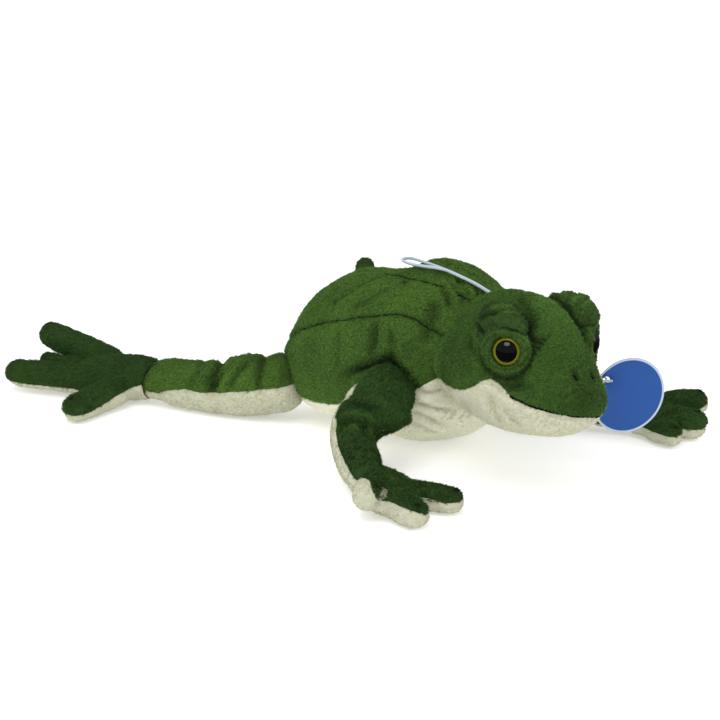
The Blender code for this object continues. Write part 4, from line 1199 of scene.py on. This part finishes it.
def limbForm(kind, side, joint, far):
    name = kind + "_" + side
    stations, seed = limbs[name], limbDetail["seed"][name]
    corners, faces = rounded(*tube(stations, 8), skinLevels)
    corners = swollen(corners, faces, -skinUnderPile)
    along, across, up, _ = alongLimb(corners, stations)
    length = np.linalg.norm(np.array(stations[-1][:3]) - np.array(stations[0][:3]))
    shade = np.zeros(len(corners))
    for place, width, depth in limbDetail["pinch"][kind]:
        wave = place + 0.02 * np.sin(np.arctan2(up, across) * 2 + seed)
        dip = depth * bell((along - wave) * length, width) * (0.15 + 0.85 * eased(up, -6, 9))
        corners = swollen(corners, faces, -dip)
        shade += foldShade * dip
    for centre, radius, depth in limbDetail["dents"].get(name, ()):
        gap = fromPoint(corners, snapped([centre], corners, faces)[0])
        corners = swollen(corners, faces, -depth * bell(gap, radius))
    corners, creased = press(corners, faces, laid(limbFolds[name], corners, faces))
    corners, shade = roughened(corners, faces, shade + creased, (15.0, seed, 0.9), (6.0, seed + 9, 0.3))
    for centre, radius, way in zip((joint[side], far[side]), limbDetail["ball"][kind], limbWays(stations)):
        corners = ballEnd(corners, centre, radius, way)
    return corners, faces, shade


def limbSeam(kind, side, corners):
    # Height above the seam between the green top and the cream underside, in the limb's own section
    along, across, up, _ = alongLimb(corners, limbs[kind + "_" + side])
    if kind == "leg":
        return up - np.interp(along, *legSeam)
    roll = np.radians(np.interp(along, *armRoll))
    return up * np.cos(roll) + signOf[side] * across * np.sin(roll) + limbDetail["armSeam"]


def makeLimb(kind, side, joint, far):
    name, (depth, width) = kind + "_" + side, limbDetail["groove"]
    corners, faces, shade = limbRest[name]
    corners = swollen(corners, faces, -depth * bell(limbSeam(kind, side, corners), width))
    corners = lifted(corners)
    value = limbSeam(kind, side, corners)
    root, end = np.array(joint[side]), np.array(far[side])
    rootWay, endWay = limbWays(limbs[name])
    _, hidden, near = touchedBy(corners, faces, ["body", beyond[kind] + side])
    bare = np.max([hidden, (corners - end) @ endWay > limbDetail["bareEnd"], edgeOf(value)], axis=0)
    rows = np.column_stack([corners, bare, darkened(shade, near * limbDetail["shadow"])])

    def combed(places):
        return alongLimb(places, limbs[name])[3]

    green = armPile if kind == "arm" else greenPile
    dressHalves(rows, faces, value, bend(),
                (kind + "Skin_" + side, green, combed, "green_pile", [name], 0.7),
                (kind + "Under_" + side, shadePile, combed, "cream_pile", [], 0.7), 0.5)


# Hands and feet

hand = {
    "palm": ((0, 8, 13.2, 13, 12.5), (0, 19, 11.3, 18.5, 12.5), (0.8, 31, 9.4, 17, 10.5)),
    "digits": {"right": (((-9, 22, 9.2, 9.4, 9.4), (-16, 35, 9.2, 8.6, 9.0), (-23.5, 48, 8.4, 8.6, 8.9)),
                         ((3, 27, 8.6, 11.8, 9.2), (6.8, 50.5, 8.0, 10.4, 8.8)),
                         ((8, 15, 13.0, 10, 10), (20.6, 25.5, 16.0, 9.6, 10.0))),
               "left": (((-8, 19, 9.6, 9.4, 9.4), (-15, 27, 9.2, 8.2, 8.6), (-20, 35.5, 8.4, 7.6, 8.0)),
                        ((-1, 26, 10.6, 11, 10.8), (-0.5, 45.0, 10.6, 10.6, 10.6)),
                        ((12, 20, 16.0, 10, 10), (22, 42, 17.8, 9.2, 9.4)))},
    "thumb": {"at": (20.6, 25.5), "from": (12.0, 18.0), "to": (11, 15), "green": 7.0, "height": 14.0,
              "dot": (7.0, 4.0)},
    "aim": {"right": 1.0, "left": 29.0}, "lift": {"right": 0.0, "left": 0.0}, "voxel": 1.3,
    "seam": ((0, 20, 60, 110), (11.0, 9.5, 9.0, 9.0)), "seamTilt": 0.5,
}
foot = {
    "palm": ((0, 10, 17.0, 13.5, 15.8), (0, 29, 15.6, 22, 15.5), (0, 52, 13.0, 22, 13.3)),
    "digits": {"right": (((-12, 40, 18.6, 12, 12), (-18, 68, 24.8, 10.2, 10.2),
                          (-25.5, 98.5, 30.4, 9.6, 9.8)),
                         ((-4, 50, 13, 8, 8), (-5.5, 90, 18, 7.0, 7.0)),
                         ((7, 48, 12.5, 11.3, 11), (10, 78, 12.8, 9.8, 10), (12, 103, 12.8, 10.5, 10.3)),
                         ((12, 24, 11, 12, 11), (34, 29, 10.2, 11, 10), (56.0, 33, 9.6, 10.6, 9.8))),
               "left": (((-12, 40, 15, 11, 11), (-18, 68, 21.5, 9.4, 9.6), (-25.5, 97.5, 28.5, 8.0, 8.4)),
                        ((-4, 50, 13, 8, 8), (-5.5, 91, 19, 7.3, 7.3)),
                        ((7, 48, 11.5, 11.3, 11), (10, 78, 11.5, 9.6, 9.8), (12, 103, 11.5, 10.5, 10.3)),
                        ((12, 24, 11, 11, 11), (34, 30, 11, 9.6, 9.6), (57.5, 35, 11, 10, 9.8)))},
    "aim": {"right": 25.0, "left": 60.0}, "lift": {"right": 0.0, "left": 10.6}, "voxel": 1.5,
    "seam": ((0, 14, 24, 60, 110), (19.0, 14.0, 7.0, 7.0, 8.0)), "seamTilt": 0.0,
}


def spreadFrame(kind, side):
    # A hand's or foot's table, its pivot on the floor, and its directions ahead and outwards
    table, joint, way = (hand, wrist, -1) if kind == "hand" else (foot, ankle, 1)
    turn, sign = math.radians(table["aim"][side]), signOf[side]
    ahead = np.array((sign * math.sin(turn), way * math.cos(turn), 0.0))
    outwards = np.array((sign * math.cos(turn), -way * math.sin(turn), 0.0))
    return table, np.array((*joint[side][:2], 0.0)), ahead, outwards


def spreadStations(kind, side, rows, lift=0.0):
    _, pivot, ahead, outwards = spreadFrame(kind, side)
    placed = []
    for k, (out, forward, up, wide, high) in enumerate(rows):
        m = pivot + ahead * forward + outwards * out
        rise = lift * (k / (len(rows) - 1)) ** 1.5
        placed.append((m[0], m[1], up + rise, wide - underPalm, high - underPalm))
    return placed


tipSpots = ((7.0, 0.35), (1.9, 1.2))  # radius and strength
soften = 5
spreadGroove = (0.9, 1.7)  # depth and width
underPalm = 0.9  # how much thinner palm and digits are built than they end up with their pile


def spreadForm(kind, side):
    # Palm and digits grown together, with the airbrushed dark spot at each digit's tip
    table, _, ahead, outwards = spreadFrame(kind, side)
    forms, tips = [rounded(*tube(spreadStations(kind, side, table["palm"]), 8), 3)], []
    for k, digit in enumerate(table["digits"][side]):
        stations = spreadStations(kind, side, digit, table["lift"][side] if k == 0 else 0.0)
        forms.append(rounded(*tube(stations, 8, False), 3))
        last, before = (np.array(stations[n][:3]) for n in (-1, -2))
        tips.append(last + unit(last - before) * 3.5 + (0, 0, 8.0))
    corners, faces = unite(forms, table["voxel"], soften)
    uneven = lumps(corners, 8.0, 31 + (side == "left")) * 0.5
    corners = swollen(corners, faces, 0.5 + uneven)
    if kind == "hand" and side == "right":
        inwards, onwards = hand["thumb"]["dot"]
        tips[2] = tips[2] + ahead * onwards - outwards * inwards
    tips, shade = snapped(tips, corners, faces), np.zeros(len(corners))
    for radius, strength in tipSpots:
        for tip in tips:
            shade = spotted(shade, corners, tip, radius, strength)
    return corners, faces, shade - 0.1 * uneven


def makeSpread(kind, side):
    name, parent = kind + "_" + side, beyond[kind] + side
    base, faces, shade = spreadRest[name]
    table, pivot, ahead, outwards = spreadFrame(kind, side)
    corners = shapes[name][0]
    moved = movedFrom(base, corners)
    reach, aside = (corners - pivot) @ ahead, (corners - pivot) @ outwards
    seam = np.interp(reach, *table["seam"]) + table["seamTilt"] * np.maximum(aside - 4, 0)
    value = corners[:, 2] - seam - lumps(corners, 14.0, 41) * 0.8
    if name == "hand_right":
        thumb = hand["thumb"]  # its pale underside is turned out, and the green lies over its inner side
        inner = 0.67 * (reach - thumb["at"][1]) - 0.74 * (aside - thumb["at"][0])
        turnedOut = 0.7 * (inner - thumb["green"]) + 0.35 * (corners[:, 2] - thumb["height"])
        share = eased(aside, *thumb["from"]) * (1 - eased(inner, *thumb["to"]))
        value = value * (1 - share) + turnedOut * share
    depth, width = spreadGroove
    corners = lifted(swollen(corners, faces, -depth * bell(value, width)))
    _, hidden, near = touchedBy(corners, faces, [parent])
    bare = np.max([hidden, moved, edgeOf(value)], axis=0)
    rows = np.column_stack([corners, bare, darkened(shade, near * limbDetail["shadow"])])

    def combed(places):
        return np.tile(ahead - np.array((0, 0, 0.1)), (len(places), 1))

    dressHalves(rows, faces, value, bend(),
                (kind + "Skin_" + side, armPile, combed, "dark_green_pile", [name], 0.6),
                (kind + "Under_" + side, shadePile, combed, "cream_pile", [], 0.6), 0.4)


# Thread, cord, card and hard trim

def plainPiece(name, corners, faces, material, body, slotName, nodes=()):
    mesh = newMesh(name, (np.asarray(corners) - np.array(middle)) * mm, faces)
    mesh.materials.append(material)
    mesh.shade_smooth()
    made = linked(name, mesh)
    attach(made, body)
    if nodes:
        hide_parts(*nodes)
    return made


def pipe(line, radius, sides, thin=None):
    # Closed tube along a line of points; thin is its share of the radius at each
    line = np.asarray(line, float)
    ways = unitRows(np.gradient(line, axis=0))
    side = np.cross(ways[0], (0.31, 0.17, 0.93))
    rings = []
    for k, way in enumerate(ways):
        side = unit(side - way * (side @ way))
        up = np.cross(way, side)
        r = radius * (1.0 if thin is None else thin[k])
        turns = 2 * np.pi * np.arange(sides) / sides
        rings.append([tuple(line[k] + (side * math.cos(t) + up * math.sin(t)) * r) for t in turns])
    return loft(rings, tuple(line[0] - ways[0] * radius * 0.4), tuple(line[-1] + ways[-1] * radius * 0.4))


loop = {
    "diameter": 2.0,
    "route": ((18.4, -65.0, 101.4), (16.6, -61.7, 103.3), (13.7, -52.5, 107.3), (11.0, -42.9, 110.2),
              (9.2, -33.5, 112.3), (9.0, -22.2, 113.4), (11.0, -6.8, 113.4), (13.8, 4.0, 112.5),
              (13.9, 8.6, 111.8), (11.6, 10.4, 111.4), (8.4, 7.0, 111.5), (5.6, 0.5, 111.8),
              (4.0, -8.0, 112.4), (4.2, -18.8, 113.2), (5.6, -26.5, 113.5), (7.2, -34.0, 113.2),
              (9.0, -43.4, 111.1),
              (11.8, -53.0, 108.2), (14.7, -62.2, 104.2), (16.4, -65.4, 102.4)),
}


def makeLoop():
    line = smoothLine(loop["route"], 4)
    data = bpy.data.curves.new("hang_cord", "CURVE")
    data.dimensions = "3D"
    data.bevel_depth = loop["diameter"] / 2 * mm
    data.bevel_resolution = 4
    data.use_fill_caps = True
    spline = data.splines.new("POLY")
    spline.points.add(len(line) - 1)
    for knot, point in zip(spline.points, line):
        knot.co = (*toRow(point), 1.0)
    data.materials.append(whiteCord)
    cord = linked("hang_cord", data)
    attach(cord, "torso")
    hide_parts("hang_loop")


mouth = {"corner": 105.5, "radius": 0.7, "stitch": 3.4, "step": 0.93,
         "thickness": (0.75, 0.95, 1, 1, 1, 0.95, 0.75)}


def evened(line, times):
    # Smooths a line between its fixed ends
    for _ in range(times):
        line[1:-1] = (line[:-2] + 2 * line[1:-1] + line[2:]) / 4
    return line


def embroider(name, strands, node):
    corners, faces = together(strands)
    plainPiece(name, fromHead(corners), faces, blackThread, "head", "black_thread", [node])


def makeStitches():
    corners, faces = headRest[:2]
    tree = treeOf(corners, faces)
    upper = split(corners, faces, corners[:, 2] - mouthAt(corners))[0][0]
    border = upper[(np.abs(upper[:, 2] - mouthAt(upper)) < 0.3) & (-upper[:, 1] > mouth["corner"])
                   & (np.linalg.norm(upper[:, :2] - (0, -mouth["corner"]), axis=1) > 12)]
    line = border[np.argsort(np.arctan2(border[:, 0], -border[:, 1] - mouth["corner"]))]
    line = smoothLine(evened(line[::3], 3), 8)
    steps = np.concatenate([[0], np.cumsum(np.linalg.norm(np.diff(line, axis=0), axis=1))])
    strands, at = [], 0.0
    while at < steps[-1] - 1.0:
        ends = np.linspace(at, min(at + mouth["stitch"], steps[-1]), 7)
        run = np.stack([np.interp(ends, steps, line[:, k]) for k in range(3)], axis=1)
        normals = np.array([tuple(tree.find_nearest(Vector(p))[1]) for p in run])
        run = run + normals * (0.35 + 0.25 * np.sin(np.linspace(0, np.pi, 7)))[:, None]
        strands.append(pipe(run, mouth["radius"], 8, mouth["thickness"]))
        at += mouth["stitch"] * mouth["step"]
    embroider("mouth_stitches", strands, "mouth_thread")
    for side, (left, forward) in zip(sides, nostrilPlaces()):
        strands = []
        for shift in nostril["strands"]:
            run = []
            for t in np.linspace(-1, 1, 9):
                start = (left + nostril["half"][0] * t + shift, -forward - nostril["half"][1] * t, 20)
                hit = tree.ray_cast(Vector(start), Vector((0, 0, -1)))
                run.append(np.array(hit[0]) + np.array(hit[1]) * (0.1 + 0.8 * (1 - t * t)))
            strands.append(pipe(run, nostril["strand"], 8))
        embroider("nostril_stitch_" + side, strands, "nostril_" + side)
    print("made stitches")


tag = {"centre": (58.5, -142.0, 45.8), "long": 49.8, "short": 43.0, "card": 1.0, "facing": -42.0,
       "tilt": 62.0, "hole": (-13.5, 10.0), "holeRadius": 2.2, "sides": 96, "border": (0.055, 0.065)}


def tagFrame():
    faces = sightAt(tag["facing"], 0)
    turn = Matrix((Vector((-faces.y, faces.x, 0)), Vector((0, 0, 1)), faces)).transposed()
    return Matrix.Translation(tag["centre"]) @ turn.to_4x4()


def makeTag():
    # Rings from the hole out to the rim, front and back, with rounded card edges
    tilt, sides = math.radians(tag["tilt"]), tag["sides"]
    hole, half, size = np.array(tag["hole"]), tag["card"] / 2, np.array((tag["long"], tag["short"])) / 2
    turns = 2 * np.pi * np.arange(sides) / sides
    spin = np.array(((math.cos(tilt), -math.sin(tilt)), (math.sin(tilt), math.cos(tilt))))
    oval = np.stack([size[0] * np.cos(turns), size[1] * np.sin(turns)], axis=1) @ spin.T
    away = np.arctan2(oval[:, 1] - hole[1], oval[:, 0] - hole[0])
    ring = hole + tag["holeRadius"] * np.stack([np.cos(away), np.sin(away)], axis=1)
    out = unitRows(oval - ring)
    front = [(0, 0, half - 0.15), (0, -0.15, half), (0.3, 0, half), (0.65, 0, half), (1, 2.4, half),
             (1, 0.25, half), (1, 0.06, half - 0.12), (1, 0, half - 0.3)]  # share out, inset, height
    rows = front + [(share, inset, -z) for share, inset, z in reversed(front)]
    corners, faces = [], []
    for a, (share, inset, z) in enumerate(rows):
        corners += [(x, y, z) for x, y in ring + (oval - ring) * share - out * inset]
        b = (a + 1) % len(rows)
        for k in range(sides):
            n = (k + 1) % sides
            faces.append((a * sides + k, a * sides + n, b * sides + n, b * sides + k))
    corners, faces = outward(corners, faces)
    card = plainPiece("blank_tag", placedBy(tagFrame(), np.array(corners)), faces, blueCard, "tag",
                      "blue_card", ["swing_tag"])
    flat = np.array(corners)[:, :2] @ spin / size
    store(card.data, "rim", 1 - np.sqrt(flat[:, 0] ** 2 + flat[:, 1] ** 2))
    print("made blank_tag")


tie = {"radius": 0.6, "end": (32.0, -109.0, 57.0), "bar": 7.0, "barShare": 1.3, "front": 2.2, "back": 3.5,
       "turn": (3.0, 4.0)}


def makeTie():
    # The plastic loop through the tag's hole, with its bar in front
    seat = tagFrame()
    faces, across = (seat.to_3x3() @ Vector(way) for way in ((0, 0, 1), (1, 0, 0)))
    hole = seat @ Vector((*tag["hole"], 0))
    front, back = hole + faces * tie["front"], hole - faces * tie["back"]
    side = back - faces * tie["turn"][0] - across * tie["turn"][1]
    half = across * tie["bar"] / 2
    strands = [pipe(smoothLine([front, hole, back, side, tie["end"]], 6), tie["radius"], 10),
               pipe(smoothLine([front - half, front, front + half], 4), tie["radius"] * tie["barShare"], 12)]
    plainPiece("tag_tie_bar", *together(strands), whitePlastic, "head", "white_plastic", ["tag_tie"])


def finishMaterial(name, colour, roughness, ior, coat, vary, scale, relief, gloss=0.5):
    # Hard or spun surface with slight unevenness of colour, gloss and height
    material, tree, shader = newMaterial(name)
    uneven = noiseAt(tree, scale, 4.0)
    tone = grey(tree, ranged(tree, uneven, 0.3, 0.7, 1 - vary, 1 + vary))
    bump = {"Height": uneven, "Strength": 0.3, "Distance": relief * mm}
    feed(tree, shader, {"Base Color": mixed(tree, 1.0, srgb(colour), tone, "MULTIPLY"),
                        "Roughness": ranged(tree, uneven, 0.3, 0.7, roughness * 0.85, roughness * 1.15),
                        "IOR": ior, "Specular IOR Level": gloss, "Coat Weight": coat,
                        "Normal": output(tree, "ShaderNodeBump", bump)})
    return material


def cardMaterial():
    # Printed gloss card: plain blue field inside a pale border, thin clear varnish over both
    material = finishMaterial("varnishedBlueCard", "#17509F", 0.4, 1.5, 0.1, 0.03, 1.2, 0.01)
    tree = material.node_tree
    colour = tree.nodes["Principled BSDF"].inputs["Base Color"]
    inner = ranged(tree, attribute(tree, "rim"), *tag["border"])
    tree.links.new(mixed(tree, inner, srgb("#B4C2D4"), colour.links[0].from_socket), colour)
    return material


greenPile = pileMaterial("greenPlushPile", greenTones)
headPile = pileMaterial("headGreenPlushPile", headTones)
browPile = pileMaterial("darkGreenPlushPile", dict(headTones, tip="#3F5A2C", root="#1F3217"))
armPile = pileMaterial("deepGreenPlushPile", armTones)
litCreamPile = pileMaterial("litCreamPlushPile", litCreamTones)
# painted shade: a darker copy of the same cream for the throat and the undersides of the limbs, hands and feet
shadeTones = dict(litCreamTones, tip="#D0D1BC", root="#BBBBA4", warm="#CFCFB4")
shadePile = pileMaterial("shadedCreamPlushPile", shadeTones)
olivePlastic = finishMaterial("olivePlastic", "#6B6A12", 0.12, 1.49, 0.0, 0.15, 0.9, 0.005)
blackPlastic = finishMaterial("blackGlossPlastic", "#030303", 0.05, 1.49, 0.0, 0.1, 3.0, 0.002)
whitePlastic = finishMaterial("whiteNylonPlastic", "#A9B6BE", 0.35, 1.53, 0.0, 0.03, 1.0, 0.02)
whiteCord = finishMaterial("whiteBraidedCord", "#AFBCC8", 0.8, 1.5, 0.0, 0.1, 0.5, 0.25)
blackThread = finishMaterial("blackEmbroideryThread", "#080907", 0.75, 1.5, 0.0, 0.2, 0.4, 0.2, 0.2)
blueCard = cardMaterial()
# painted shadow for the seams' grooves
seamShadowStrip = finishMaterial("darkGreenSeamShadow", "#0E1A09", 0.9, 1.5, 0.0, 0.2, 0.6, 0.2, 0.1)
plush = pileTree()

makeCamera()
bodyRest, headRest, limbRest, spreadRest = bodyForm(), headForm(), {}, {}
form = bodyRest[0]
for joint, ways in ((shoulder, {"right": (1, 0.1, 0.15), "left": (-1, 0.1, 0.15)}),
                    (hip, {"right": (0.6, -0.8, 0.1), "left": (-0.6, -0.8, 0.1)})):
    for side in sides:
        form = hollow(form, joint[side], joint["ball"] + bodyRoom, ways[side])
shapes["body"] = form, bodyRest[1]
shapes["head"] = fromHead(hollow(headRest[0], (0, 0, 0), neckBall + endRoom, (0, -1, 0))), headRest[1]
browRest = {side: browForm(side) for side in sides}
for side in sides:
    shapes["brow_" + side] = fromHead(browRest[side][0]), browRest[side][1]
    for kind, joint, far in (("arm", shoulder, wrist), ("leg", hip, ankle)):
        limbRest[kind + "_" + side] = limbForm(kind, side, joint, far)
        shapes[kind + "_" + side] = limbRest[kind + "_" + side][:2]
    for kind, joint in (("hand", wrist), ("foot", ankle)):
        form, faces, _ = spreadRest[kind + "_" + side] = spreadForm(kind, side)
        ahead = spreadFrame(kind, side)[2]
        shapes[kind + "_" + side] = hollow(form, joint[side], joint["ball"] + endRoom, ahead), faces
print("made the forms")
makeLoop()
makeBody()
makeHead()
for side in sides:
    makeEyes(side)
    makeLimb("arm", side, shoulder, wrist)
    makeLimb("leg", side, hip, ankle)
    makeSpread("hand", side)
    makeSpread("foot", side)
makeStitches()
makeTag()
makeTie()
for side in sides:
    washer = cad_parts["washer_" + side]
    washer.data.materials.clear()
    washer.data.materials.append(whitePlastic)


# Studio

studio = {"world": 1.0, "glossy": 0.2, "floorGlow": 0.3, "floor": 8, "aim": (0, 0, 0.05),
          "key": ((-0.75, -0.35, 1.5), 1.1, 9.0), "fill": ((0.9, -1.2, 0.9), 1.2, 4.0)}  # place, size, power


def softLamp(name):
    place, size, power = studio[name]
    data = bpy.data.lights.new(name, "AREA")
    data.shape, data.size, data.energy = "DISK", size, power
    lamp = linked(name, data)
    lamp.location = place
    face(lamp, (Vector(studio["aim"]) - Vector(place)).normalized())


def makeStudio():
    world = bpy.data.worlds.new("studio")
    bpy.context.scene.world = world
    world.use_nodes = True
    tree = world.node_tree
    seen = add(tree, "ShaderNodeLightPath").outputs
    direct = maths(tree, "MAXIMUM", seen["Is Camera Ray"], seen["Is Transmission Ray"])
    glossy = ranged(tree, seen["Is Glossy Ray"], 0.0, 1.0, studio["world"], studio["glossy"])
    strength = output(tree, "ShaderNodeMix", {0: direct, 2: glossy, 3: 1.0})
    feed(tree, tree.nodes["Background"], {"Strength": strength, "Color": (1, 1, 1, 1)})
    for name in ("key", "fill"):
        softLamp(name)

    s = studio["floor"]
    mesh = newMesh("floor", [(-s, -s, 0), (s, -s, 0), (s, s, 0), (-s, s, 0)], [(0, 1, 2, 3)])
    material, tree, shader = newMaterial("whiteSweep")
    dull = output(tree, "ShaderNodeLightPath", socket="Is Glossy Ray")  # so that the eyes mirror a dark floor
    feed(tree, shader, {"Base Color": mixed(tree, dull, srgb("#F7F7F7"), srgb("#303030")), "Roughness": 0.9,
                        "Emission Color": (1, 1, 1, 1),
                        "Emission Strength": ranged(tree, dull, 0.0, 1.0, studio["floorGlow"], 0.0)})
    mesh.materials.append(material)
    floor = linked("floor", mesh)
    bpy.context.scene.view_settings.view_transform = "Standard"


makeStudio()
